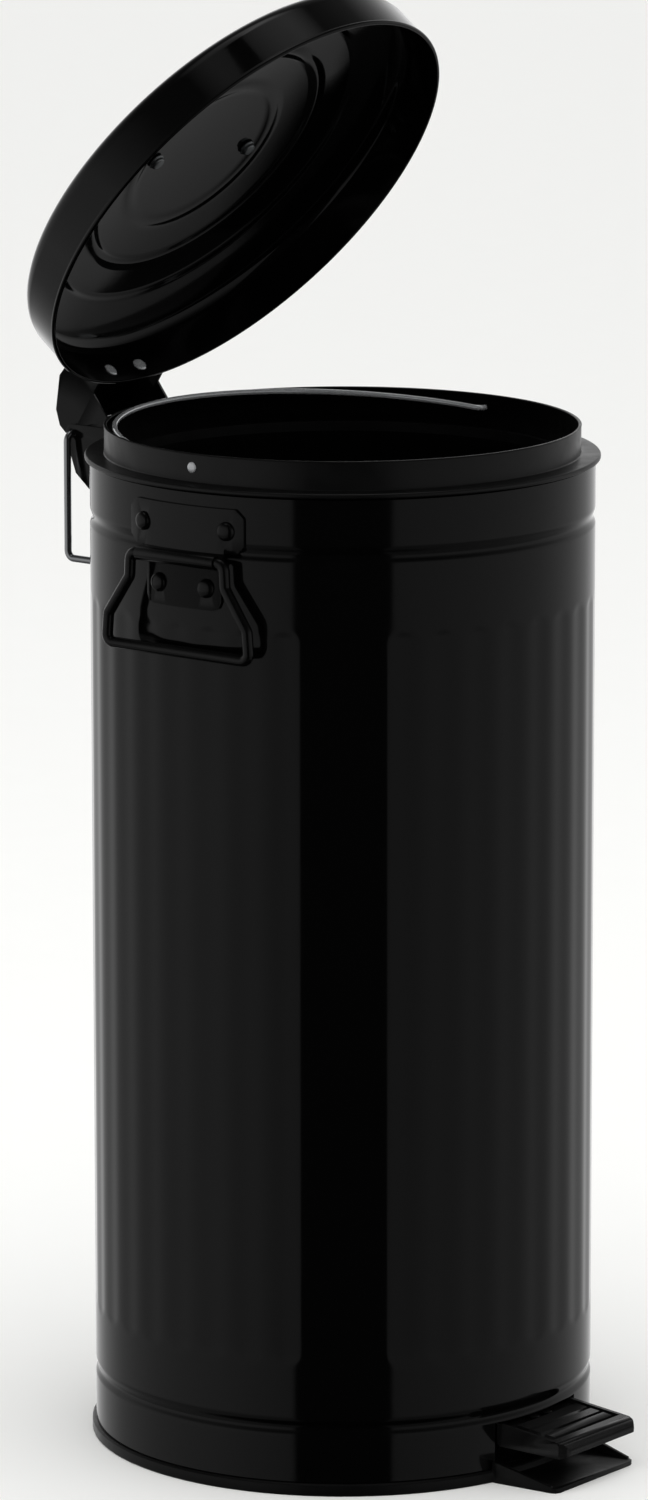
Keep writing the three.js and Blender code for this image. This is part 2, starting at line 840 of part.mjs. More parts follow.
// Bracket riveted to the skirt: curved web, two ears, the back web and the lifter pin.
const webInner = lidRadius + touchGap;
const webLow = lidRim + 3;
const webHigh = lidRim + lidSkirt - 3;
const webHalf = lidEarX + earSheet;
let lidBracket = ring(webInner, webInner + earSheet, webLow, webHigh, ringSteps).intersect(
  box(-webHalf, webHalf, lidRadius - 30, lidRadius + 30, webLow, webHigh),
);
const pinY = rodOuterY;
const webRoot = Math.sqrt(webInner ** 2 - webHalf ** 2) - 1.5;
for (const side of [-1, 1]) {
  const from = side * lidEarX;
  const to = side * (lidEarX + earSheet);
  const ear = slabAlongX(
    [
      [webRoot, webLow],
      [flangeRadius - 1.4, webLow - 1.2],
      [pinY - 4.8, lifterZ - 3.7],
      [pinY + 3, lifterZ - 4.7],
      [hingeY + 2, hingeZ - 6.8],
      [hingeY + 6.4, hingeZ],
      [hingeY + 5.6, hingeZ + 12],
      [hingeY, hingeZ + 20],
      [hingeY - 18, hingeZ + 30.5],
      [flangeRadius - 2, webHigh],
      [webRoot, webHigh],
    ],
    Math.min(from, to),
    Math.max(from, to),
  );
  const outside = ring(webInner, bodyRadius + 110, hingeZ - 44, hingeZ + 60, ringSteps);
  lidBracket = lidBracket.add(ear.intersect(outside));
}
const backWeb = slabAlongX(
  [
    [flangeRadius - 2, webHigh],
    [hingeY - 18, hingeZ + 30.5],
    [hingeY, hingeZ + 20],
    [hingeY + 5.6, hingeZ + 12],
    [hingeY + 4.3, hingeZ + 11.2],
    [hingeY - 0.9, hingeZ + 18.6],
    [hingeY - 18.3, hingeZ + 28.9],
    [flangeRadius - 2, webHigh - 1.5],
  ],
  -lidEarX - 0.7,
  lidEarX + 0.7,
);
lidBracket = lidBracket.add(backWeb);
lidBracket = lidBracket.subtract(bar("x", hingeBore, -60, 60, hingeY, hingeZ, 18));
lidBracket = lidBracket.add(bar("x", lifterPin, -lidEarX - 0.7, lidEarX + 0.7, pinY, lifterZ, 14));
for (const [angle, height] of lidRivets) {
  lidBracket = lidBracket.subtract(rivetCutter(lidRadius, rad(90 + angle), height));
}
addLidPiece("lid_bracket", lidBracket, blackPaint());

// Rivets with their domes inside the skirt and flat ends outside the bracket's web.
lidRivets.forEach(([angle, height], index) => {
  const through = lidWall + touchGap + earSheet + 2 * touchGap;
  const profile = domedProfile(4.4, 1.2, rivetShank, through, 3.6);
  const made = rivet(profile, 14);
  made.rotateZ(Math.PI);
  const placed = placeRound(made, lidInner - touchGap, rad(90 + angle), height);
  addLidPiece(`lid_rivet_${index === 0 ? "left" : "right"}`, placed, chrome());
});

// Arched handle on top and the two screws that hold it.
const knobFoot = lidRim + innerGrooveRise + lidWall + 1.2;
const half = knobSpacing / 2;
let knob = wire(
  bentRoute(
    [
      at(-half, 0, knobFoot),
      at(-half, 0, knobFoot + knobHeight),
      at(half, 0, knobFoot + knobHeight),
      at(half, 0, knobFoot),
    ],
    knobBend,
    6,
  ),
  knobRod,
  14,
);
for (const side of [-1, 1]) {
  const collar = bar("z", 7.5, knobFoot, knobFoot + 2.6, side * half, 0, 18);
  knob = knob.add(collar);
}
for (const side of [-1, 1]) {
  knob = knob.subtract(bar("z", screwHole, knobFoot - 2, knobFoot + 11, side * half, 0, 14));
}
addLidPiece("lid_handle", knob, blackPaint());
const screwSeat = lidRim + innerGrooveRise + 0.05;
[-1, 1].forEach((side, index) => {
  const made = lathe(
    [
      [0, screwSeat - 3.2],
      [3.6, screwSeat - 3.2],
      [4.2, screwSeat - 2.6],
      [4.2, screwSeat - 1.1],
      [5.2, screwSeat - 0.9],
      [5.2, screwSeat],
      [screwShank, screwSeat],
      [screwShank, knobFoot + 9],
      [0, knobFoot + 9],
    ],
    12,
  );
  addLidPiece(`lid_screw_${index === 0 ? "left" : "right"}`, made.translate([side * half, 0, 0]),
    plainSteel());
});

// ---------------------------------------------------------------- inner bucket
const collarInner = collarRadius - bucketWall;
let bucket = lathe(
  [
    [0, bucketBottom],
    [bucketBottomRadius - 3, bucketBottom],
    [bucketBottomRadius, bucketBottom + 3],
    [bucketRadius, flangeUnder - 6],
    [bucketRadius, flangeUnder],
    [flangeRadius - 0.6, flangeUnder],
    [flangeRadius, flangeUnder + 1],
    [flangeRadius - 0.6, flangeTop],
    [collarRadius, flangeTop],
    [collarRadius, collarTop - 1.6],
    [collarRadius - 1.2, collarTop],
    [collarInner - 0.8, collarTop - 1.2],
    [collarInner, collarTop - 2.6],
    [collarInner, flangeTop],
    [bucketRadius - bucketWall, flangeUnder + 0.6],
    [bucketRadius - bucketWall, flangeUnder - 6],
    [bucketBottomRadius - bucketWall, bucketBottom + 3.6],
    [bucketBottomRadius - bucketWall - 2.6, bucketBottom + bucketWall],
    [0, bucketBottom + bucketWall],
  ],
  72,
);
const across = bodyRadius + 20;
bucket = bucket.subtract(bar("x", bailWire + bailHole, -across, across, 0, bailPivotHeight, 14));
addPiece("inner_bucket", bucket, blackPaint());

// Bucket bail: stubs through the collar, arch folded back just inside the rim.
const lean = rad(bailLean);
const bailRoute = [at(-collarRadius - 1, 0, bailPivotHeight)];
const bailCorner = 4;
for (let k = 0; k <= 4; k += 1) {
  const turn = (Math.PI / 2) * (k / 4);
  const across = -bailArch - bailCorner + bailCorner * Math.sin(turn);
  const along = bailCorner * (1 - Math.cos(turn));
  bailRoute.push(at(across, along * Math.cos(lean), bailPivotHeight + along * Math.sin(lean)));
}
const archSteps = 28;
for (let k = 0; k <= archSteps; k += 1) {
  const start = bailCorner / bailArch;
  const turn = start + ((Math.PI - 2 * start) * k) / archSteps;
  const across = -bailArch * Math.cos(turn);
  const along = bailArch * Math.sin(turn);
  if (k > 0 && k < archSteps) {
    bailRoute.push(at(across, along * Math.cos(lean), bailPivotHeight + along * Math.sin(lean)));
  }
}
const firstHalf = bailRoute.slice(0, 6);
for (const point of [...firstHalf].reverse()) bailRoute.push(at(-point.x, point.y, point.z));
addPiece("bucket_bail", wire(bailRoute, bailWire, 8), chrome());

// ---------------------------------------------------------------- side handles
function plateSolid() {
  const c = upperPlateChamfer;
  const upper = [
    [-upperPlateHalf, upperPlateBottom + c],
    [-upperPlateHalf + c, upperPlateBottom],
    [upperPlateHalf - c, upperPlateBottom],
    [upperPlateHalf, upperPlateBottom + c],
    [upperPlateHalf, upperPlateTop - c],
    [upperPlateHalf - c, upperPlateTop],
    [-upperPlateHalf + c, upperPlateTop],
    [-upperPlateHalf, upperPlateTop - c],
  ];
  const lower = [
    [-lowerPlateHalf, barrelHeight],
    [-lowerPlateHalf, lowerPlateBottom + 5],
    [-lowerPlateHalf + 1.5, lowerPlateBottom + 1.5],
    [-lowerPlateHalf + 5, lowerPlateBottom],
    [lowerPlateHalf - 5, lowerPlateBottom],
    [lowerPlateHalf - 1.5, lowerPlateBottom + 1.5],
    [lowerPlateHalf, lowerPlateBottom + 5],
    [lowerPlateHalf, barrelHeight],
  ];
  const sheetRing = ring(plateInner, plateInner + plateSheet, lowerPlateBottom - 10, bodyTop, ringSteps);
  const [near, far] = [bodyRadius - 47, bodyRadius + 23];
  const high = barrelHeight + barrelRadius;
  const low = barrelHeight - barrelRadius;
  let made = sheetRing.intersect(slabAlongX(upper, near, far));
  made = made.add(sheetRing.intersect(slabAlongX(lower, near, far)));
  const fill = box(bodyRadius - 7, barrelX, -barrelHalf, barrelHalf, low + 0.8, high - 0.2);
  made = made.add(fill.intersect(ring(plateInner, bodyRadius + 50, low, high + 1, ringSteps)));
  const bridge = slabAlongX(
    [
      [-barrelHalf, barrelHeight - 2],
      [barrelHalf, barrelHeight - 2],
      [barrelHalf, upperPlateBottom + 1.5],
      [-barrelHalf, upperPlateBottom + 1.5],
    ],
    near,
    far,
  );
  made = made.add(sheetRing.intersect(bridge));
  made = made.add(bar("y", barrelRadius, -barrelHalf, barrelHalf, barrelX, barrelHeight, 18));
  made = made.subtract(bar("y", barrelBore, -60, 60, barrelX, barrelHeight, 18));
  for (const [angle, height] of handleRivets) {
    made = made.subtract(rivetCutter(bodyRadius, rad(angle), height));
  }
  return made;
}

function handleRoute() {
  const inner = barrelHalf - 12;
  const bend = bentRoute(
    [
      at(barrelX, inner, barrelHeight),
      at(barrelX, handleTopHalf, barrelHeight),
      at(barrelX, handleTopHalf + 0.8, barrelHeight - 14),
      at(barrelX, handleBottomHalf - 1.5, handleBottom + 17),
      at(barrelX, handleBottomHalf, handleBottom),
      at(barrelX, 0, handleBottom),
    ],
    4.2,
    4,
  );
  const mirrored = [...bend].reverse().slice(1);
  return [...bend, ...mirrored.map((point) => at(point.x, -point.y, point.z))];
}

const plate = plateSolid();
const handle = wire(handleRoute(), handleRod, 10);
const rivetNames = ["upper_front", "upper_rear", "lower_front", "lower_rear"];
for (const [side, turn] of handleSides) {
  const spin = (turn * 180) / Math.PI;
  addPiece(`handle_plate_${side}`, plate.rotate([0, 0, spin]), blackPaint());
  addPiece(`side_handle_${side}`, handle.rotate([0, 0, spin]), blackPaint());
  handleRivets.forEach(([angle, height], index) => {
    const inside = touchGap + plateSheet + touchGap + sheet + touchGap;
    const profile = domedProfile(rivetHead, rivetHeadHeight, rivetShank, inside, 3.4);
    const radius = plateInner + plateSheet + touchGap;
    const isFront = side === "left" ? angle > 0 : angle < 0;
    const row = rivetNames[(index < 2 ? 0 : 2) + (isFront ? 0 : 1)];
    const made = placeRound(rivet(profile, 10), radius, turn + rad(angle), height);
    addPiece(`rivet_${row}_${side}`, made, blackPaint());
  });
}

export default root;
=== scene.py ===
"""The looks of a round pedal bin in fluted black steel: shell, base, bucket, lid, hinge,
handles, pedal and rod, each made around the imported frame, with its finishes and the studio."""

import json
import math

import bmesh
import bpy
from mathutils import Matrix, Vector


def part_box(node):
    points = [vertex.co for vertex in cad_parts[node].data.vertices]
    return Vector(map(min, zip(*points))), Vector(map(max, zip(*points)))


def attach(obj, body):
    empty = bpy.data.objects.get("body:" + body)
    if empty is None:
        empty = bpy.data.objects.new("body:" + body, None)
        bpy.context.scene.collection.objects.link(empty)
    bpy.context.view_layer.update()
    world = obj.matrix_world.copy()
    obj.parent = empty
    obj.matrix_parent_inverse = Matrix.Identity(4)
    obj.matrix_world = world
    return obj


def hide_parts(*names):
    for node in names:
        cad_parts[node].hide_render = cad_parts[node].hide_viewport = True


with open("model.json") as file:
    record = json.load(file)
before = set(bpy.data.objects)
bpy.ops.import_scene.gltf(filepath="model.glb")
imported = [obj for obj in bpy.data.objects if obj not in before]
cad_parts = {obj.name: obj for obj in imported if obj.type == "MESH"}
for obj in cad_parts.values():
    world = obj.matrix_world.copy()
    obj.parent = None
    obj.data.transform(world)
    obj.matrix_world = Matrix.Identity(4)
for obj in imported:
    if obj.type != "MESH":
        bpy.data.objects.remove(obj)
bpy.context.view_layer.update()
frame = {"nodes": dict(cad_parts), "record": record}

bl_info = {
    "name": "Fluted Pedal Bin",
    "version": (1, 0, 0),
    "blender": (4, 5, 0),
    "location": "View3D > Sidebar > Pedal Bin",
    "description": "Makes a round fluted pedal bin around its frame, piece by piece",
    "category": "Object",
}

MM = 0.001


def measured(node):
    """A node's lowest and highest corners, in millimetres."""
    low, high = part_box(node)
    return Vector(low) / MM, Vector(high) / MM


SHELL_LOW, SHELL_HIGH = measured("body_shell")
BUCKET_LOW, BUCKET_HIGH = measured("inner_bucket")
WIRE_LOW, WIRE_HIGH = measured("hinge_wire")
JOINTS = {joint["name"]: joint for joint in frame["record"]["behaviour"]["joints"]}
HINGE = Vector(JOINTS["lid_hinge"]["pos_m"]) / MM
OPEN_ANGLE = -JOINTS["lid_hinge"]["range_deg"][0]


def linear(code):
    """An sRGB hex colour as linear red, green, blue and one."""
    parts = [int(code[i : i + 2], 16) / 255 for i in (1, 3, 5)]
    light = [p / 12.92 if p <= 0.04045 else ((p + 0.055) / 1.055) ** 2.4 for p in parts]
    return (*light, 1.0)


# ---------------------------------------------------------------- sizes and colours


def length(name, description, millimetres):
    return bpy.props.FloatProperty(
        name=name, description=description, default=millimetres * MM, unit="LENGTH", min=0.0
    )


def colour(name, description, code):
    return bpy.props.FloatVectorProperty(
        name=name, description=description, default=linear(code), subtype="COLOR", size=4,
        min=0.0, max=1.0,
    )


class BinSizes(bpy.types.PropertyGroup):
    """Sizes of the bin's pieces."""

    body_radius: length("Body radius", "Outside of the shell", SHELL_HIGH.x)
    body_top: length("Body top", "Height of the shell's top edge", SHELL_HIGH.z)
    body_foot: length("Body foot", "Height of the shell's lower edge", SHELL_LOW.z)
    sheet: length("Sheet", "Thickness of the shell's steel", 1.0)
    flutes: bpy.props.IntProperty(
        name="Flutes", description="How many flutes go round the shell", default=40, min=3
    )
    flute_depth: length("Flute depth", "How far a flute is pressed in", 0.42)
    flute_low: length("Flutes from", "Height of the flutes' lower ends", 76)
    flute_high: length("Flutes to", "Height of the flutes' upper ends", SHELL_HIGH.z - 74.4)
    groove_depth: length("Groove depth", "How far the two grooves are pressed in", 1.5)
    lower_groove: length("Lower groove", "Height of the lower groove", 39.2)
    upper_groove: length("Upper groove", "Height of the upper groove", SHELL_HIGH.z - 32.8)
    lid_radius: length("Lid radius", "Outside of the lid's skirt", 141.8)
    lid_skirt: length("Lid skirt", "Height of the lid's skirt", 30)
    bucket_radius: length("Bucket radius", "Outside of the bucket under its flange", 131)
    bail_wire: length("Bail wire", "Radius of the bucket bail's wire", 1.7)
    hinge_wire: length("Hinge wire", "Radius of the wire that is the hinge pin", 2.2)
    handle_rod: length("Handle rod", "Radius of the drop handles' rod", 3.25)
    knob_rod: length("Lid handle rod", "Radius of the lid handle's rod", 4.6)


class BinColours(bpy.types.PropertyGroup):
    """Colours of the bin's finishes."""

    enamel: colour("Enamel", "Gloss enamel of the shell, lid and bucket", "#020202")
    handle_enamel: colour("Handle enamel", "Enamel of the handles and brackets", "#030303")
    plastic: colour("Plastic", "Moulded plastic of the base", "#050505")
    tread: colour("Tread", "Moulded plastic of the pedal", "#0c0c0c")
    chrome: colour("Chrome", "Chrome on the wires and the lid's rivets", "#d9dbdd")
    zinc: colour("Zinc", "Zinc on the lever, rod and screws", "#a9acad")
    floor: colour("Floor", "The studio's floor", "#f4f4f2")


# ---------------------------------------------------------------- mesh helpers


def piece_of(name, shape, body, nodes, finish, sharp=32.0):
    """Makes one finished piece from a bmesh in millimetres and rides it on its body."""
    bmesh.ops.scale(shape, vec=(MM, MM, MM), verts=shape.verts[:])
    mesh = bpy.data.meshes.new(name)
    shape.to_mesh(mesh)
    shape.free()
    mesh.polygons.foreach_set("use_smooth", [True] * len(mesh.polygons))
    mesh.set_sharp_from_angle(angle=math.radians(sharp))
    made = bpy.data.objects.new(name, mesh)
    bpy.context.scene.collection.objects.link(made)
    made.data.materials.append(finish)
    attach(made, body)
    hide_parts(*nodes)
    return made


def closed_up(shape, gap=0.002):
    """Merges doubles and turns every face outwards."""
    bmesh.ops.remove_doubles(shape, verts=shape.verts[:], dist=gap)
    bmesh.ops.recalc_face_normals(shape, faces=shape.faces[:])
    return shape


def turned(profile, steps):
    """Spins a closed outline of (radius, height, rounding) about the upright axis."""
    shape = bmesh.new()
    corners = [shape.verts.new((r, 0, z)) for r, z, _ in profile]
    shape.faces.new(corners)
    for rounding in sorted({point[2] for point in profile if point[2]}, reverse=True):
        chosen = [v for v, point in zip(corners, profile) if point[2] == rounding]
        bmesh.ops.bevel(
            shape, geom=chosen, offset=rounding, affect="VERTICES", segments=4, profile=0.5,
            material=-1, clamp_overlap=True,
        )
    bmesh.ops.delete(shape, geom=shape.faces[:], context="FACES_ONLY")
    on_axis = [e for e in shape.edges if all(abs(v.co.x) < 1e-5 for v in e.verts)]
    bmesh.ops.delete(shape, geom=on_axis, context="EDGES")
    bmesh.ops.spin(
        shape, geom=shape.verts[:] + shape.edges[:], cent=(0, 0, 0), axis=(0, 0, 1),
        angle=math.tau, steps=steps, use_merge=True,
    )
    return closed_up(shape)


def softened(node, rounding, angle=34.0, segments=2):
    """A merged copy of a frame node with its hard edges rounded."""
    shape = bmesh.new()
    shape.from_mesh(frame["nodes"][node].data)
    bmesh.ops.scale(shape, vec=(1 / MM,) * 3, verts=shape.verts[:])
    bmesh.ops.remove_doubles(shape, verts=shape.verts[:], dist=0.004)
    bmesh.ops.dissolve_degenerate(shape, dist=0.004, edges=shape.edges[:])
    bmesh.ops.dissolve_limit(
        shape, angle_limit=math.radians(0.8), verts=shape.verts[:], edges=shape.edges[:]
    )
    hard = [
        e for e in shape.edges
        if e.is_manifold and e.calc_face_angle(0.0) > math.radians(angle)
    ]
    bmesh.ops.bevel(
        shape, geom=hard, offset=rounding, affect="EDGES", segments=segments, profile=0.5,
        material=-1, clamp_overlap=True,
    )
    return shape


def bent(corners, bend, steps=8):
    """A route through the corners with each inner corner rounded to the bend's radius."""
    route = [corners[0]]
    for before, corner, after in zip(corners, corners[1:], corners[2:]):
        back, ahead = (before - corner).normalized(), (after - corner).normalized()
        half = back.angle(ahead) / 2
        reach = min(bend / math.tan(half), 0.49 * (before - corner).length,
                    0.49 * (after - corner).length)
        radius = reach * math.tan(half)
        centre = corner + (back + ahead).normalized() * radius / math.sin(half)
        first = corner + back * reach - centre
        last = corner + ahead * reach - centre
        turn = first.angle(last)
        axis = first.cross(last).normalized()
        for k in range(steps + 1):
            route.append(centre + Matrix.Rotation(turn * k / steps, 3, axis) @ first)
    route.append(corners[-1])
    return route


def wire(route, radius, resolution=5):
    """A round wire along a route, as a closed bmesh."""
    curve = bpy.data.curves.new("route", "CURVE")
    curve.dimensions = "3D"
    curve.bevel_depth = radius
    curve.bevel_resolution = resolution
    curve.use_fill_caps = True
    spline = curve.splines.new("POLY")
    spline.points.add(len(route) - 1)
    for point, place in zip(spline.points, route):
        point.co = (*place, 1.0)
    holder = bpy.data.objects.new("route", curve)
    mesh = bpy.data.meshes.new_from_object(holder)
    shape = bmesh.new()
    shape.from_mesh(mesh)
    bpy.data.objects.remove(holder)
    bpy.data.curves.remove(curve)
    bpy.data.meshes.remove(mesh)
    return closed_up(shape, 0.001)


def joined(*shapes):
    """Puts several bmeshes into the first."""
    first = shapes[0]
    for shape in shapes[1:]:
        mesh = bpy.data.meshes.new("part")
        shape.to_mesh(mesh)
        shape.free()
        first.from_mesh(mesh)
        bpy.data.meshes.remove(mesh)
    return first


def moved(shape, matrix):
    bmesh.ops.transform(shape, matrix=matrix, verts=shape.verts[:])
    return shape


def opened(shape):
    """Turns a shape made with the lid shut to where the lid stands."""
    swing = Matrix.Rotation(math.radians(-OPEN_ANGLE), 4, "X")
    return moved(shape, Matrix.Translation(HINGE) @ swing @ Matrix.Translation(-HINGE))


def on_wall(radius, degrees, height):
    """Where a rivet sits on a round wall, its axis pointing out."""
    out = Matrix.Translation((radius, 0, height)) @ Matrix.Rotation(math.radians(90), 4, "Y")
    return Matrix.Rotation(math.radians(degrees), 4, "Z") @ out


# ---------------------------------------------------------------- finishes


def add_node(tree, kind, settings=None, **inputs):
    """Adds one node with its settings, values and links; an input's name or _ and its number."""
    made = tree.nodes.new(kind)
    for name, value in (settings or {}).items():
        setattr(made, name, value)
    for name, value in inputs.items():
        number = name[1:]
        socket = made.inputs[int(number) if number.isdigit() else name.replace("_", " ")]
        if isinstance(value, bpy.types.NodeSocket):
            tree.links.new(value, socket)
        else:
            socket.default_value = value
    return made


def finish_with(name, shade, metal, ior, rough, marks, tints=None):
    """A finish: rough is (low, high, grain in mm), marks are (grain in mm, height in mm),
    tints is (second colour, grain in mm, share)."""
    material = bpy.data.materials.new(name)
    material.use_nodes = True
    tree = material.node_tree
    tree.nodes.clear()
    out = add_node(tree, "ShaderNodeOutputMaterial")
    shader = add_node(tree, "ShaderNodeBsdfPrincipled", Metallic=metal, IOR=ior)
    shader.inputs["Base Color"].default_value = shade
    place = add_node(tree, "ShaderNodeTexCoord").outputs["Object"]
    low, high, grain = rough
    cloud = add_node(tree, "ShaderNodeTexNoise", Vector=place, Scale=1000 / grain, Detail=4.0)
    spread = add_node(
        tree, "ShaderNodeMapRange", _0=cloud.outputs["Fac"], _1=0.35, _2=0.65, _3=low, _4=high
    )
    tree.links.new(spread.outputs["Result"], shader.inputs["Roughness"])
    if tints:
        second, size, share = tints
        patch = add_node(tree, "ShaderNodeTexNoise", Vector=place, Scale=1000 / size, Detail=3.0)
        amount = add_node(
            tree, "ShaderNodeMapRange", _0=patch.outputs["Fac"], _1=0.4, _2=0.7, _3=0.0, _4=share
        )
        mixed = add_node(
            tree, "ShaderNodeMix", {"data_type": "RGBA"}, _0=amount.outputs["Result"],
            _6=shade, _7=second,
        )
        tree.links.new(mixed.outputs[2], shader.inputs["Base Color"])
    normal = None
    for size, height in marks:
        relief = add_node(tree, "ShaderNodeTexNoise", Vector=place, Scale=1000 / size, Detail=2.0)
        bump = add_node(
            tree, "ShaderNodeBump", Height=relief.outputs["Fac"], Distance=height * MM,
            Strength=1.0,
        )
        if normal:
            tree.links.new(normal, bump.inputs["Normal"])
        normal = bump.outputs["Normal"]
    if normal:
        tree.links.new(normal, shader.inputs["Normal"])
    tree.links.new(shader.outputs["BSDF"], out.inputs["Surface"])
    return material


def finishes():
    """Every finish by its name, made once."""
    made = {}
    colours = bpy.context.scene.pedal_bin_colours
    # Baked gloss enamel sprayed on pressed steel: near black, clear reflections, a faint
    # orange peel about 3 mm across.
    made["enamel"] = finish_with(
        "baked_gloss_enamel_on_steel", colours.enamel, 0.0, 1.5, (0.06, 0.10, 22.0),
        [(3.2, 0.006), (0.9, 0.0012)],
    )
    # The same enamel on small folded parts: thicker at the edges and a little duller.
    made["handle_enamel"] = finish_with(
        "baked_enamel_on_folded_steel", colours.handle_enamel, 0.0, 1.5, (0.09, 0.16, 6.0),
        [(2.2, 0.008)],
    )
    # The bucket's enamel is a satin one, dull enough that its inside sends no shapes back.
    made["satin_enamel"] = finish_with(
        "satin_enamel_on_bucket", colours.enamel, 0.0, 1.5, (0.30, 0.38, 14.0),
        [(2.6, 0.006)],
    )
    # Injection-moulded polypropylene: black through, fine spark-eroded grain, satin.
    made["plastic"] = finish_with(
        "moulded_black_polypropylene", colours.plastic, 0.0, 1.36, (0.28, 0.36, 5.0),
        [(1.1, 0.004)], tints=(linear("#070707"), 9.0, 0.5),
    )
    # The pedal's harder plastic, polished where shoes rub it.
    made["tread"] = finish_with(
        "moulded_black_abs", colours.tread, 0.0, 1.54, (0.17, 0.26, 5.0),
        [(1.1, 0.003)],
    )
    # Chrome plating on drawn wire: a mirror with the faintest draw marks.
    made["chrome"] = finish_with(
        "chrome_plate_on_drawn_wire", colours.chrome, 1.0, 1.45, (0.05, 0.13, 4.0),
        [(1.6, 0.003)],
    )
    # Bright nickel plating under lacquer, which scatters part of the light.
    made["nickel"] = finish_with(
        "lacquered_nickel_plate_on_steel", colours.chrome, 0.74, 1.6, (0.06, 0.14, 4.0),
        [(1.6, 0.003)],
    )
    # Painted shade inside the bucket: a darker, nearly unreflecting black on its inner faces,
    # which sends almost nothing back and stands in for the shade deep in the bucket.
    made["lining"] = finish_with(
        "matt_lining_paint_in_bucket", linear("#010101"), 0.0, 1.16, (0.6, 0.7, 9.0),
        [(1.4, 0.003)],
    )
    # Zinc plating on steel strip and bar: grey, softly cloudy, slightly rough.
    made["zinc"] = finish_with(
        "zinc_plate_on_steel", colours.zinc, 1.0, 1.45, (0.28, 0.42, 7.0),
        [(0.8, 0.006)], tints=(linear("#8c9194"), 6.0, 0.8),
    )
    return made


FINISHES = {}


def finish_named(name):
    if not FINISHES:
        FINISHES.update(finishes())
    return FINISHES[name]


# ---------------------------------------------------------------- the pieces


class MakeShell(bpy.types.Operator):
    """Spins the shell, presses its flutes and grooves and cuts its openings."""

    bl_idname = "pedal_bin.shell"
    bl_label = "Shell"

    OPENING_HALF = 38.5
    OPENING_TOP = 34.6
    SLOT_HALF = 3.8
    SLOT_REACH = (533.2, 557.2)
    FLUTE_COLUMNS = 10
    FLUTE_PHASE = -0.25
    FLUTE_ARCH = 9.0  # how far a flute's middle reaches past its sides at each end
    FLUTE_FADE = 6.0  # the height over which a flute's end rises to the wall
    GROOVE_UNDER = 4.2
    GROOVE_OVER = 6.6
    # Heights of rings measured from the shell's ends, the grooves and the flutes' ends.
    EDGE_ROWS = (0.35, 1.0, 3.0)
    GROOVE_ROWS = [0.75 * k for k in range(-7, 12)]
    FLUTE_END_ROWS = [1.2 * k for k in range(-14, 15)]
    FLUTE_MIDDLE = 20.0  # from a flute's end to its plain middle, which has few rings
    FLUTE_MIDDLE_ROWS = 8
    CLOSEST_ROWS = 0.2
    CUT_BESIDE = 8.0  # how far beside a window the wall is split along its edges
    CUT_ABOVE = 45.0  # and how far above and below it

    def rows(self, low, high, sizes):
        """Heights of the shell's rings, close together where the sheet bends."""
        heights = {round(self.OPENING_TOP, 3)}
        heights |= {round(low + step, 3) for step in self.EDGE_ROWS}
        heights |= {round(high - step, 3) for step in self.EDGE_ROWS}
        for middle in (sizes.lower_groove / MM, sizes.upper_groove / MM):
            heights |= {round(middle + step, 3) for step in self.GROOVE_ROWS}
        for end in (sizes.flute_low / MM, sizes.flute_high / MM):
            heights |= {round(end + step, 3) for step in self.FLUTE_END_ROWS}
        start = sizes.flute_low / MM + self.FLUTE_MIDDLE
        reach = sizes.flute_high / MM - self.FLUTE_MIDDLE - start
        count = self.FLUTE_MIDDLE_ROWS
        heights |= {round(start + reach * k / count, 3) for k in range(count + 1)}
        near = self.CLOSEST_ROWS
        kept = [low] + [z for z in sorted(heights) if low + near < z < high - near] + [high]
        return [z for z, after in zip(kept, kept[1:]) if after - z > near] + [high]

    def groove(self, height, middle):
        """How far a groove draws the wall in at this height, from 0 to 1."""
        away = height - middle
        reach = self.GROOVE_UNDER if away < 0 else self.GROOVE_OVER
        return 0.5 + 0.5 * math.cos(math.pi * away / reach) if abs(away) < reach else 0.0

    def flute(self, turn, height, sizes):
        """How far a flute draws the wall in at this place, from 0 to 1."""
        share = (turn / math.tau * sizes.flutes + self.FLUTE_PHASE) % 1.0
        across = math.sin(math.pi * share) ** 2
        arch = self.FLUTE_ARCH * (1 - math.sqrt(max(0.0, 1 - (2 * share - 1) ** 2)))
        inside = min(height - sizes.flute_low / MM, sizes.flute_high / MM - height) - arch
        rise = max(0.0, min(1.0, inside / self.FLUTE_FADE))
        return across * rise * rise * (3 - 2 * rise)

    def execute(self, context):
        sizes = context.scene.pedal_bin_sizes
        radius, top, foot = sizes.body_radius / MM, sizes.body_top / MM, sizes.body_foot / MM
        shape = bmesh.new()
        rings = [shape.verts.new((radius, 0, z)) for z in self.rows(foot, top, sizes)]
        for low, high in zip(rings, rings[1:]):
            shape.edges.new((low, high))
        bmesh.ops.spin(
            shape, geom=shape.verts[:] + shape.edges[:], cent=(0, 0, 0), axis=(0, 0, 1),
            angle=math.tau, steps=sizes.flutes * self.FLUTE_COLUMNS, use_merge=True,
        )
        bmesh.ops.remove_doubles(shape, verts=shape.verts[:], dist=0.01)
        for vert in shape.verts:
            turn = math.atan2(vert.co.y, vert.co.x) % math.tau
            drawn = self.flute(turn, vert.co.z, sizes) * sizes.flute_depth
            for middle in (sizes.lower_groove, sizes.upper_groove):
                drawn += self.groove(vert.co.z, middle / MM) * sizes.groove_depth
            share = 1 - drawn / MM / radius
            vert.co.x *= share
            vert.co.y *= share
        bmesh.ops.recalc_face_normals(shape, faces=shape.faces[:])
        self.cut(shape, (-self.OPENING_HALF, self.OPENING_HALF), (0, self.OPENING_TOP), -1)
        self.cut(shape, (-self.SLOT_HALF, self.SLOT_HALF), self.SLOT_REACH, 1)
        made = piece_of("fluted_shell", shape, "bin", ["body_shell"],
                        finish_named("enamel"), sharp=50)
        wall = made.modifiers.new("sheet", "SOLIDIFY")
        wall.thickness = sizes.sheet
        wall.offset = -1
        wall.use_even_offset = True
        return {"FINISHED"}

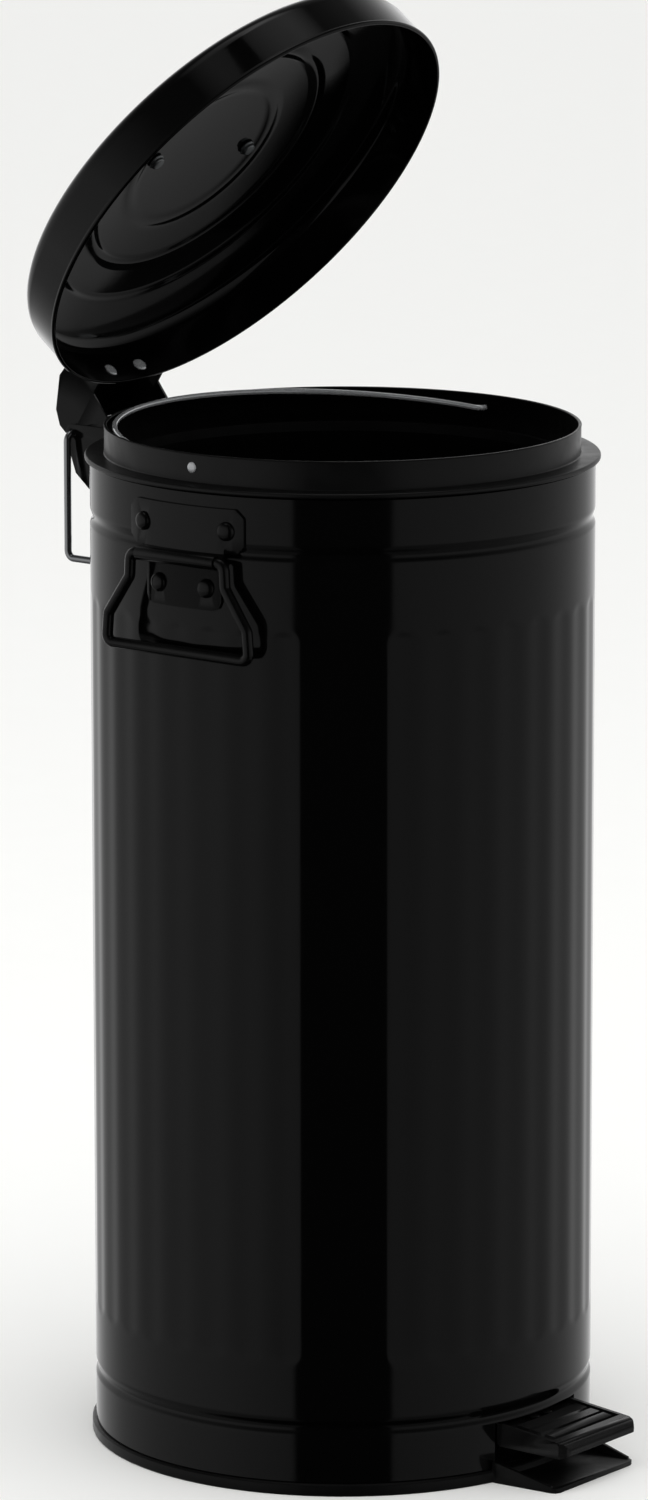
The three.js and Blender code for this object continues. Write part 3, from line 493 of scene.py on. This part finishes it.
    def cut(self, shape, across, heights, side):
        """Cuts a window in the wall on the side where y has this sign."""
        low, high = heights
        planes = [((x, 0, 0), (1, 0, 0)) for x in across]
        planes += [((0, 0, z), (0, 0, 1)) for z in heights]
        for place, normal in planes:
            near = [
                f for f in shape.faces
                if f.calc_center_median().y * side > 0
                and abs(f.calc_center_median().x) < across[1] + self.CUT_BESIDE
                and low - self.CUT_ABOVE < f.calc_center_median().z < high + self.CUT_ABOVE
            ]
            edges = {e for f in near for e in f.edges}
            geom = near + list(edges | {v for f in near for v in f.verts})
            bmesh.ops.bisect_plane(shape, geom=geom, dist=0.001, plane_co=place, plane_no=normal)
        gone = [
            f for f in shape.faces
            if f.calc_center_median().y * side > 0
            and across[0] < f.calc_center_median().x < across[1]
            and low < f.calc_center_median().z < high
        ]
        bmesh.ops.delete(shape, geom=gone, context="FACES")


class MakeBase(bpy.types.Operator):
    """Rounds the moulded base with the tongue under the pedal."""

    bl_idname = "pedal_bin.base"
    bl_label = "Base"

    def execute(self, context):
        plastic = finish_named("plastic")
        piece_of("base_moulding", softened("base", rounding=0.45, angle=40), "bin", ["base"],
                 plastic, sharp=30)
        piece_of("rod_guide_moulding", softened("rod_guide", rounding=0.5), "bin",
                 ["rod_guide"], plastic, sharp=30)
        return {"FINISHED"}


class MakeBucket(bpy.types.Operator):
    """Spins the inner bucket and bends its bail."""

    bl_idname = "pedal_bin.bucket"
    bl_label = "Bucket and bail"

    WALL = 1.2
    COLLAR_STEP = 7.5  # from the bucket's side out to the collar
    FLANGE_STEP = 19.0  # and out to the flange's edge
    FLANGE_UNDER = 20.0  # from the collar's top down to the flange's under side
    FLANGE_OVER = 16.8  # and down to its upper side
    PIVOT_DROP = 8.2  # from the collar's top down to the bail's stubs
    LEAN = 3.6  # the folded bail's rise above level, degrees
    ARCH_GAP = 3.2  # between the collar's inside and the folded bail
    CORNER = 4.0  # the bend from a stub into the bail's arch
    CORNER_STEPS = 6
    ARCH_STEPS = 30

    def execute(self, context):
        sizes = context.scene.pedal_bin_sizes
        out = sizes.bucket_radius / MM
        collar, flange = out + self.COLLAR_STEP, out + self.FLANGE_STEP
        low, top = BUCKET_LOW.z, BUCKET_HIGH.z
        under, over = top - self.FLANGE_UNDER, top - self.FLANGE_OVER
        wall = self.WALL
        profile = [
            (0, low, 0), (out - 7, low, 3.5), (out - 5, low + 4, 0), (out, under - 6, 0),
            (out, under, 0), (flange - 0.1, under, 1.2), (flange, over - 0.1, 1.3),
            (collar, over, 0.9), (collar, top - 0.9, 0), (collar + 0.35, top - 0.45, 0.3),
            (collar - 0.5, top, 0.5), (collar - wall - 0.6, top - 0.3, 0.5),
            (collar - wall, top - 2.0, 0), (collar - wall, over + 2.6, 2.5),
            (out - wall, under - 8, 2.5),
            (out - 5 - wall, low + 4.6, 0), (out - 8 - wall, low + wall, 3.0), (0, low + wall, 0),
        ]
        shape = turned(profile, 160)
        # The bucket's inner faces take the second finish, a painted shade that stands in for the
        # shade deep inside.
        for face in shape.faces:
            middle = face.calc_center_median()
            away = Vector((middle.x, middle.y, 0))
            inside = away.length < collar - wall + 0.2 and middle.z < top - 1.2
            if inside and (face.normal.z > 0.5 or face.normal.dot(away) < 0):
                face.material_index = 1
        made = piece_of("enamelled_bucket", shape, "bucket", ["inner_bucket"],
                        finish_named("satin_enamel"))
        made.data.materials.append(finish_named("lining"))
        self.bail(sizes, collar, top - self.PIVOT_DROP)
        return {"FINISHED"}

    def bail(self, sizes, collar, pivot):
        """The folded bail: a stub through the collar each side, headed outside."""
        radius = sizes.bail_wire / MM
        arch = collar - self.WALL - radius - self.ARCH_GAP
        lean = math.radians(self.LEAN)
        corner = self.CORNER

        def level(across, along):
            return Vector((across, along * math.cos(lean), pivot + along * math.sin(lean)))

        half = [level(-collar - 0.6, 0)]
        for k in range(self.CORNER_STEPS + 1):
            turn = math.pi / 2 * k / self.CORNER_STEPS
            across = -arch - corner + corner * math.sin(turn)
            half.append(level(across, corner * (1 - math.cos(turn))))
        start = corner / arch
        for k in range(1, self.ARCH_STEPS + 1):
            turn = start + (math.pi / 2 - start) * k / self.ARCH_STEPS
            half.append(level(-arch * math.cos(turn), arch * math.sin(turn)))
        route = half + [Vector((-p.x, p.y, p.z)) for p in reversed(half[:-1])]
        shapes = [wire(route, radius, 4)]
        head = [(0, 0.2, 0), (radius + 1.5, 0.2, 0.2), (radius + 1.2, 0.9, 0.5), (0, 1.6, 0)]
        for side in (0, 180):
            shapes.append(moved(turned(head, 24), on_wall(collar, side, pivot)))
        piece_of("bucket_bail_wire", joined(*shapes), "bail", ["bucket_bail"],
                 finish_named("nickel"), sharp=45)


class MakeLid(bpy.types.Operator):
    """Spins the lid with its rings, and makes its handle, rivets and screws."""

    bl_idname = "pedal_bin.lid"
    bl_label = "Lid"

    WALL = 1.2
    RIM = BUCKET_HIGH.z - 15.9
    DOME_RISE = 16.0  # of the dome's middle above the skirt, inside
    KNOB_HALF = 42.0
    KNOB_HEIGHT = 27.0
    KNOB_BEND = 13.0
    KNOB_FOOT = 14.5  # of the handle's feet above the skirt, inside
    FOOT_GAP = 1.2
    FOOT_RADIUS = 7.5
    FOOT_RISE = 2.6
    RIVET_ANGLE = 5.457  # of the bracket's rivets either side of the rear, degrees
    RIVET_RISE = 9.5
    RIVET_HEAD = [(0, 0.2, 0), (4.4, 0.2, 0.25), (4.2, 0.8, 0.6), (2.2, 1.45, 0), (0, 1.6, 0)]
    RIVET_SHANK = [(0, -4.6, 0), (3.6, -4.6, 0.5), (3.6, -3.4, 0.3), (1.9, -3.3, 0),
                   (1.9, 0.3, 0), (0, 0.3, 0)]

    def skin(self, radius, skirt):
        """The pressed skin inside, from the skirt to the middle: radius, rise, rounding."""
        inner = radius - self.WALL
        return [
            (inner, skirt, 6.5), (radius - 30.8, skirt + 7.5, 2.5),
            (radius - 33.8, skirt + 9.6, 2.5), (radius - 53.5, skirt + 11.5, 1.6),
            (radius - 58.8, skirt + 10.0, 2.4), (radius - 63.0, skirt + 12.1, 1.6),
            (58.5, skirt + 14.4, 2.4), (53, skirt + 14.1, 3.0), (47.6, skirt + 14.9, 2.4),
            (24, skirt + 15.8, 0),
        ]

    def execute(self, context):
        sizes = context.scene.pedal_bin_sizes
        radius, skirt = sizes.lid_radius / MM, sizes.lid_skirt / MM
        under = self.skin(radius, skirt)
        over = [(r + 0.2 if r > 60 else r, z + self.WALL, b) for r, z, b in under]
        over[0] = (radius, skirt + self.WALL - 0.4, 7.5)
        bead = [
            (radius, 2.7, 0.4), (radius + 1.1, 2.2, 0.7), (radius + 1.1, 0.5, 0.7),
            (radius + 0.2, 0, 0.5), (radius - self.WALL + 0.2, 0, 0.2),
            (radius - self.WALL, 0.7, 0.2),
        ]
        outline = (
            [(0, skirt + self.DOME_RISE, 0)] + under[::-1] + bead[::-1] + over
            + [(0, skirt + self.DOME_RISE + self.WALL, 0)]
        )
        shape = turned([(r, z + self.RIM, b) for r, z, b in outline], 180)
        piece_of("pressed_lid", opened(shape), "lid", ["lid_shell"], finish_named("enamel"),
                 sharp=40)
        self.handle(sizes, self.RIM + skirt + self.KNOB_FOOT + self.WALL + self.FOOT_GAP)
        for name, angle in (("left", self.RIVET_ANGLE), ("right", -self.RIVET_ANGLE)):
            shape = joined(turned(self.RIVET_HEAD, 32), turned(self.RIVET_SHANK, 24))
            moved(shape, Matrix.Rotation(math.pi, 4, "Y"))
            place = on_wall(radius - self.WALL - 0.1, 90 + angle, self.RIM + self.RIVET_RISE)
            piece_of(f"lid_rivet_dome_{name}", opened(moved(shape, place)), "lid",
                     [f"lid_rivet_{name}"], finish_named("nickel"))
        return {"FINISHED"}

    def handle(self, sizes, foot):
        """The arched handle with a collar at each foot, and the screws that hold it."""
        half = self.KNOB_HALF
        top = foot + self.KNOB_HEIGHT
        corners = [Vector((-half, 0, foot)), Vector((-half, 0, top)), Vector((half, 0, top)),
                   Vector((half, 0, foot))]
        shapes = [wire(bent(corners, self.KNOB_BEND, 10), sizes.knob_rod / MM, 7)]
        wide, over = self.FOOT_RADIUS, foot + self.FOOT_RISE
        collar = [(0, foot, 0), (wide, foot, 0.3), (wide, over, 1.2), (0, over, 0)]
        for side in (-half, half):
            shapes.append(moved(turned(collar, 36), Matrix.Translation((side, 0, 0))))
        piece_of("lid_arch_handle", opened(joined(*shapes)), "lid", ["lid_handle"],
                 finish_named("handle_enamel"), sharp=40)
        for name in ("left", "right"):
            shape = softened(f"lid_screw_{name}", rounding=0.3, angle=30)
            piece_of(f"lid_screw_head_{name}", shape, "lid", [f"lid_screw_{name}"],
                     finish_named("zinc"), sharp=40)


class MakeHinge(bpy.types.Operator):
    """Rounds the two folded brackets and bends the hinge wire."""

    bl_idname = "pedal_bin.hinge"
    bl_label = "Hinge"

    FOLD_ROUNDING = 0.4
    WIRE_BEND = 4.5

    def execute(self, context):
        sizes = context.scene.pedal_bin_sizes
        enamel = finish_named("handle_enamel")
        for name, node, body in (
            ("hinge_channel", "hinge_bracket", "bin"), ("lid_hinge_channel", "lid_bracket", "lid")
        ):
            piece_of(name, softened(node, self.FOLD_ROUNDING), body, [node], enamel)
        for name in ("left", "right"):
            shape = softened(f"bracket_rivet_{name}", rounding=0.2, angle=30)
            piece_of(f"bracket_rivet_head_{name}", shape, "bin", [f"bracket_rivet_{name}"],
                     finish_named("zinc"))
        radius = sizes.hinge_wire / MM
        leg, foot, inside = WIRE_HIGH.x - radius, WIRE_LOW.z + radius, WIRE_LOW.y
        corners = [
            Vector((-leg, inside, foot)), Vector((-leg, HINGE.y, foot)),
            Vector((-leg, HINGE.y, HINGE.z)), Vector((leg, HINGE.y, HINGE.z)),
            Vector((leg, HINGE.y, foot)), Vector((leg, inside, foot)),
        ]
        piece_of("hinge_wire_loop", wire(bent(corners, self.WIRE_BEND, 8), radius, 6), "bin",
                 ["hinge_wire"], finish_named("chrome"), sharp=45)
        return {"FINISHED"}


class MakeHandles(bpy.types.Operator):
    """Makes the drop handles with their plates and rivets."""

    bl_idname = "pedal_bin.handles"
    bl_label = "Side handles"

    BARREL = (152.4, 545.0)  # from the bin's middle, and from the floor
    # Half of the handle, from the barrel to the middle of the grip: along the shell, and down.
    DROP = [(16.5, 0), (34, 0), (34.8, 14), (50.5, 37), (52, 54), (0, 54)]
    DROP_BEND = 4.6
    PLATE_ROUNDING = 0.4
    PLATE_FACE = 2.1  # from the shell's side out to the plate's face
    DOME = [(0, 0.1, 0), (5.5, 0.1, 0.2), (5.2, 1.4, 1.4), (3.0, 2.6, 1.4), (0, 2.8, 0)]
    SHANK = [(0, -4.4, 0), (3.4, -4.4, 0.3), (3.4, -3.2, 0.3), (1.9, -3.1, 0), (1.9, 0.2, 0),
             (0, 0.2, 0)]
    # Each rivet's angle from the middle of the plate, in degrees, and its height.
    RIVETS = {
        "upper_front": (11.693, 562.3), "upper_rear": (-11.693, 562.3),
        "lower_front": (6.626, 528.5), "lower_rear": (-6.626, 528.5),
    }

    def execute(self, context):
        sizes = context.scene.pedal_bin_sizes
        enamel = finish_named("handle_enamel")
        across, height = self.BARREL
        corners = [Vector((across, along, height - down)) for along, down in self.DROP]
        right = bent(corners, self.DROP_BEND, 7)
        route = right + [Vector((p.x, -p.y, p.z)) for p in reversed(right[:-1])]
        for side, turn in (("left", 180), ("right", 0)):
            spin = Matrix.Rotation(math.radians(turn), 4, "Z")
            drop = moved(wire(route, sizes.handle_rod / MM, 6), spin)
            piece_of(f"drop_handle_{side}", drop, f"handle_{side}", [f"side_handle_{side}"],
                     enamel, sharp=45)
            plate = softened(f"handle_plate_{side}", self.PLATE_ROUNDING)
            piece_of(f"folded_plate_{side}", plate, "bin", [f"handle_plate_{side}"], enamel)
            for name, (angle, rise) in self.RIVETS.items():
                mirrored = -angle if side == "right" else angle
                shape = joined(turned(self.DOME, 32), turned(self.SHANK, 20))
                face = sizes.body_radius / MM + self.PLATE_FACE
                moved(shape, on_wall(face, turn + mirrored, rise))
                piece_of(f"rivet_dome_{name}_{side}", shape, "bin", [f"rivet_{name}_{side}"],
                         enamel)
        return {"FINISHED"}


class MakePedal(bpy.types.Operator):
    """Rounds the pedal's tread and its lever, and bends the lift rod."""

    bl_idname = "pedal_bin.pedal"
    bl_label = "Pedal and rod"

    TREAD_FALL = 4.0  # of the pad's top over its length
    TREAD_END = 7.0  # the length left out of that slope
    CHANNEL_FLOOR = (1.25, 2.4)  # the least and the most depth of a channel's floor
    CHANNEL_SHARE = 0.78  # of the pad's length, from the shell, that has channels
    CHANNEL_MARGIN = 2.0
    CHANNEL_SINK = 0.9
    LEVER_ROUNDING = 0.4
    AXLE_ROUNDING = 0.3
    ROD_KNEE = 535.0
    ROD_BEND = 6.0

    def execute(self, context):
        zinc = finish_named("zinc")
        piece_of("pedal_tread", self.tread(), "pedal", ["pedal_pad"], finish_named("tread"),
                 sharp=30)
        piece_of("pedal_lever_strip", softened("pedal_lever", self.LEVER_ROUNDING), "pedal",
                 ["pedal_lever"], zinc)
        for name in ("left", "right"):
            shape = softened(f"pad_rivet_{name}", rounding=0.2, angle=30)
            piece_of(f"tread_rivet_{name}", shape, "pedal", [f"pad_rivet_{name}"],
                     finish_named("plastic"))
        for node in ("axle_stand", "pedal_axle"):
            piece_of(f"{node}_plated", softened(node, self.AXLE_ROUNDING), "bin", [node], zinc)
        low, high = measured("lift_rod")
        radius = high.x
        inner, outer = low.y + radius, high.y - radius
        knee = self.ROD_KNEE
        corners = [Vector((0, inner, low.z)), Vector((0, inner, knee)), Vector((0, outer, knee)),
                   Vector((0, outer, high.z))]
        piece_of("lift_rod_wire", wire(bent(corners, self.ROD_BEND, 8), radius, 5), "rod",
                 ["lift_rod"], zinc, sharp=45)
        return {"FINISHED"}

    def tread(self):
        """The pad, rounded, with the channels between its ribs sunk a little deeper."""
        low, high = measured("pedal_pad")
        shape = softened("pedal_pad", 0.7, 20, 3)
        reach = high.y - low.y
        least, most = self.CHANNEL_FLOOR
        for vert in shape.verts:
            along = high.y - vert.co.y
            level = high.z - self.TREAD_FALL * along / (reach - self.TREAD_END)
            in_channel = least < level - vert.co.z < most
            among_ribs = along < self.CHANNEL_SHARE * reach
            if in_channel and among_ribs and abs(vert.co.x) < high.x - self.CHANNEL_MARGIN:
                vert.co.z -= self.CHANNEL_SINK
        return shape


# ---------------------------------------------------------------- the studio


class MakeStudio(bpy.types.Operator):
    """Makes the floor, the soft light around the bin, and the camera."""

    bl_idname = "pedal_bin.studio"
    bl_label = "Studio"

    CAMERA_AZIMUTH = -52.0
    CAMERA_AWAY = 4.334
    CAMERA_HEIGHT = 1.2958
    CAMERA_TILT = 11.56
    CAMERA_YAW = -0.146
    CAMERA_ROLL = -0.069
    LENS = 181.4
    # The light that the studio sends back at each angle from the camera's side, in degrees:
    # a dark gap in front between two tall soft boxes, which brighten towards the back wall.
    RIGHT_LIGHT = [(0, 0.008), (21.3, 0.008), (23.5, 0.15), (60, 0.20), (100, 0.27), (125, 0.36),
                   (145, 0.5), (165, 0.8), (180, 1.0)]
    LEFT_LIGHT = [(0, 0.008), (21.3, 0.008), (23.5, 0.17), (60, 0.26), (100, 0.30), (125, 0.34),
                  (145, 0.5), (165, 0.8), (180, 1.0)]
    # How that light falls away below and above the horizon, from straight down to straight up.
    LEVEL_LIGHT = [(0.0, 0.02), (0.125, 0.02), (0.155, 0.42), (0.29, 0.5), (0.37, 1.0),
                   (0.585, 1.0), (0.71, 0.5), (0.82, 0.14), (0.93, 0.1), (0.97, 0.9), (1.0, 1.0)]
    LAMP_ACROSS = 3.0
    LAMP_WATTS = 30.0
    LAMP_PLACE = (-0.6, -0.5, 3.2)
    FLOOR_RADIUS = 9.0

    def execute(self, context):
        self.make_floor()
        self.make_light(context)
        self.make_camera(context)
        context.scene.view_settings.view_transform = "Standard"
        return {"FINISHED"}

    def make_floor(self):
        shape = bmesh.new()
        bmesh.ops.create_circle(shape, cap_ends=True, radius=self.FLOOR_RADIUS, segments=96)
        mesh = bpy.data.meshes.new("studio_floor")
        shape.to_mesh(mesh)
        shape.free()
        floor = bpy.data.objects.new("studio_floor", mesh)
        bpy.context.scene.collection.objects.link(floor)
        colours = bpy.context.scene.pedal_bin_colours
        # Matt emulsion on a studio floor.
        paint = finish_with("matt_floor_paint", colours.floor, 0.0, 1.45, (0.85, 0.95, 40.0), [])
        floor.data.materials.append(paint)
        floor.visible_glossy = False

    def set_stops(self, ramp, stops):
        """Gives a colour ramp its (place, grey) stops."""
        points = ramp.color_ramp.elements
        while len(points) < len(stops):
            points.new(0.5)
        for point, (place, value) in zip(points, stops):
            point.position = place
            point.color = (value, value, value, 1)

    def make_light(self, context):
        world = bpy.data.worlds.new("studio")
        context.scene.world = world
        world.use_nodes = True
        tree = world.node_tree
        tree.nodes.clear()
        out = add_node(tree, "ShaderNodeOutputWorld")
        way = add_node(tree, "ShaderNodeTexCoord").outputs["Generated"]
        turned_way = add_node(
            tree, "ShaderNodeMapping", {"vector_type": "POINT"}, Vector=way,
            Rotation=(0, 0, math.radians(-self.CAMERA_AZIMUTH)),
        )
        parts = add_node(tree, "ShaderNodeSeparateXYZ", Vector=turned_way.outputs["Vector"])
        away = add_node(
            tree, "ShaderNodeMath", {"operation": "MULTIPLY"}, _0=parts.outputs["Y"], _1=-1.0
        )
        angle = add_node(
            tree, "ShaderNodeMath", {"operation": "ARCTAN2"}, _0=parts.outputs["X"],
            _1=away.outputs[0],
        )
        shares = []
        for sign, stops in ((1, self.RIGHT_LIGHT), (-1, self.LEFT_LIGHT)):
            share = add_node(
                tree, "ShaderNodeMapRange", _0=angle.outputs[0], _1=0.0, _2=sign * math.pi,
                _3=0.0, _4=1.0,
            )
            ramp = add_node(tree, "ShaderNodeValToRGB", Fac=share.outputs["Result"])
            self.set_stops(ramp, [(degrees / 180, value) for degrees, value in stops])
            shares.append(ramp.outputs["Color"])
        level = add_node(
            tree, "ShaderNodeMapRange", _0=parts.outputs["Z"], _1=-1.0, _2=1.0, _3=0.0, _4=1.0
        )
        fall = add_node(tree, "ShaderNodeValToRGB", Fac=level.outputs["Result"])
        self.set_stops(fall, self.LEVEL_LIGHT)
        side = add_node(
            tree, "ShaderNodeMath", {"operation": "GREATER_THAN"}, _0=angle.outputs[0], _1=0.0
        )
        around = add_node(
            tree, "ShaderNodeMix", {"data_type": "RGBA"}, _0=side.outputs[0], _6=shares[1],
            _7=shares[0],
        )
        whole = add_node(
            tree, "ShaderNodeMix", {"data_type": "RGBA", "blend_type": "MULTIPLY"}, _0=1.0,
            _6=around.outputs[2], _7=fall.outputs["Color"],
        )
        glossy = add_node(tree, "ShaderNodeLightPath").outputs["Is Glossy Ray"]
        shown = add_node(
            tree, "ShaderNodeMix", {"data_type": "RGBA"}, _0=glossy, _6=(1, 1, 1, 1),
            _7=whole.outputs[2],
        )
        back = add_node(tree, "ShaderNodeBackground", Color=shown.outputs[2], Strength=1.0)
        tree.links.new(back.outputs[0], out.inputs["Surface"])
        lamp = bpy.data.lights.new("overhead_softbox", "AREA")
        lamp.shape = "DISK"
        lamp.size = self.LAMP_ACROSS
        lamp.energy = self.LAMP_WATTS
        holder = bpy.data.objects.new("overhead_softbox", lamp)
        holder.location = self.LAMP_PLACE
        holder.visible_glossy = False
        context.scene.collection.objects.link(holder)

    def make_camera(self, context):
        turn = math.radians(self.CAMERA_AZIMUTH)
        across = Vector((math.cos(turn), math.sin(turn), 0))
        away = Vector((-math.sin(turn), math.cos(turn), 0))
        tilt, yaw, roll = (
            math.radians(v) for v in (self.CAMERA_TILT, self.CAMERA_YAW, self.CAMERA_ROLL)
        )
        ahead = (
            across * math.sin(yaw) * math.cos(tilt) + away * math.cos(yaw) * math.cos(tilt)
            - Vector((0, 0, math.sin(tilt)))
        )
        right = across * math.cos(yaw) - away * math.sin(yaw)
        up = right.cross(ahead)
        rolled = right * math.cos(roll) + up * math.sin(roll)
        upright = up * math.cos(roll) - right * math.sin(roll)
        camera = bpy.data.cameras.new("view")
        camera.lens = self.LENS
        camera.sensor_width = 36.0
        camera.clip_end = 100.0
        holder = bpy.data.objects.new("view", camera)
        place = Matrix((rolled, upright, -ahead)).transposed().to_4x4()
        place.translation = -away * self.CAMERA_AWAY + Vector((0, 0, self.CAMERA_HEIGHT))
        holder.matrix_world = place
        context.scene.collection.objects.link(holder)
        context.scene.camera = holder


# ---------------------------------------------------------------- the add-on


MAKERS = (MakeShell, MakeBase, MakeBucket, MakeLid, MakeHinge, MakeHandles, MakePedal, MakeStudio)


class PedalBinPanel(bpy.types.Panel):
    """Lists the pieces and their sizes."""

    bl_idname = "VIEW3D_PT_pedal_bin"
    bl_label = "Pedal Bin"
    bl_space_type = "VIEW_3D"
    bl_region_type = "UI"
    bl_category = "Pedal Bin"

    def draw(self, context):
        for maker in MAKERS:
            self.layout.operator(maker.bl_idname)
        for group in (context.scene.pedal_bin_sizes, context.scene.pedal_bin_colours):
            box = self.layout.box()
            for name in group.__annotations__:
                box.prop(group, name)


CLASSES = (BinSizes, BinColours, *MAKERS, PedalBinPanel)


def register():
    for kind in CLASSES:
        bpy.utils.register_class(kind)
    bpy.types.Scene.pedal_bin_sizes = bpy.props.PointerProperty(type=BinSizes)
    bpy.types.Scene.pedal_bin_colours = bpy.props.PointerProperty(type=BinColours)


def unregister():
    del bpy.types.Scene.pedal_bin_colours
    del bpy.types.Scene.pedal_bin_sizes
    for kind in reversed(CLASSES):
        bpy.utils.unregister_class(kind)


def main():
    register()
    for maker in MAKERS:
        group, name = maker.bl_idname.split(".")
        getattr(getattr(bpy.ops, group), name)()


if __name__ == "__main__":
    main()
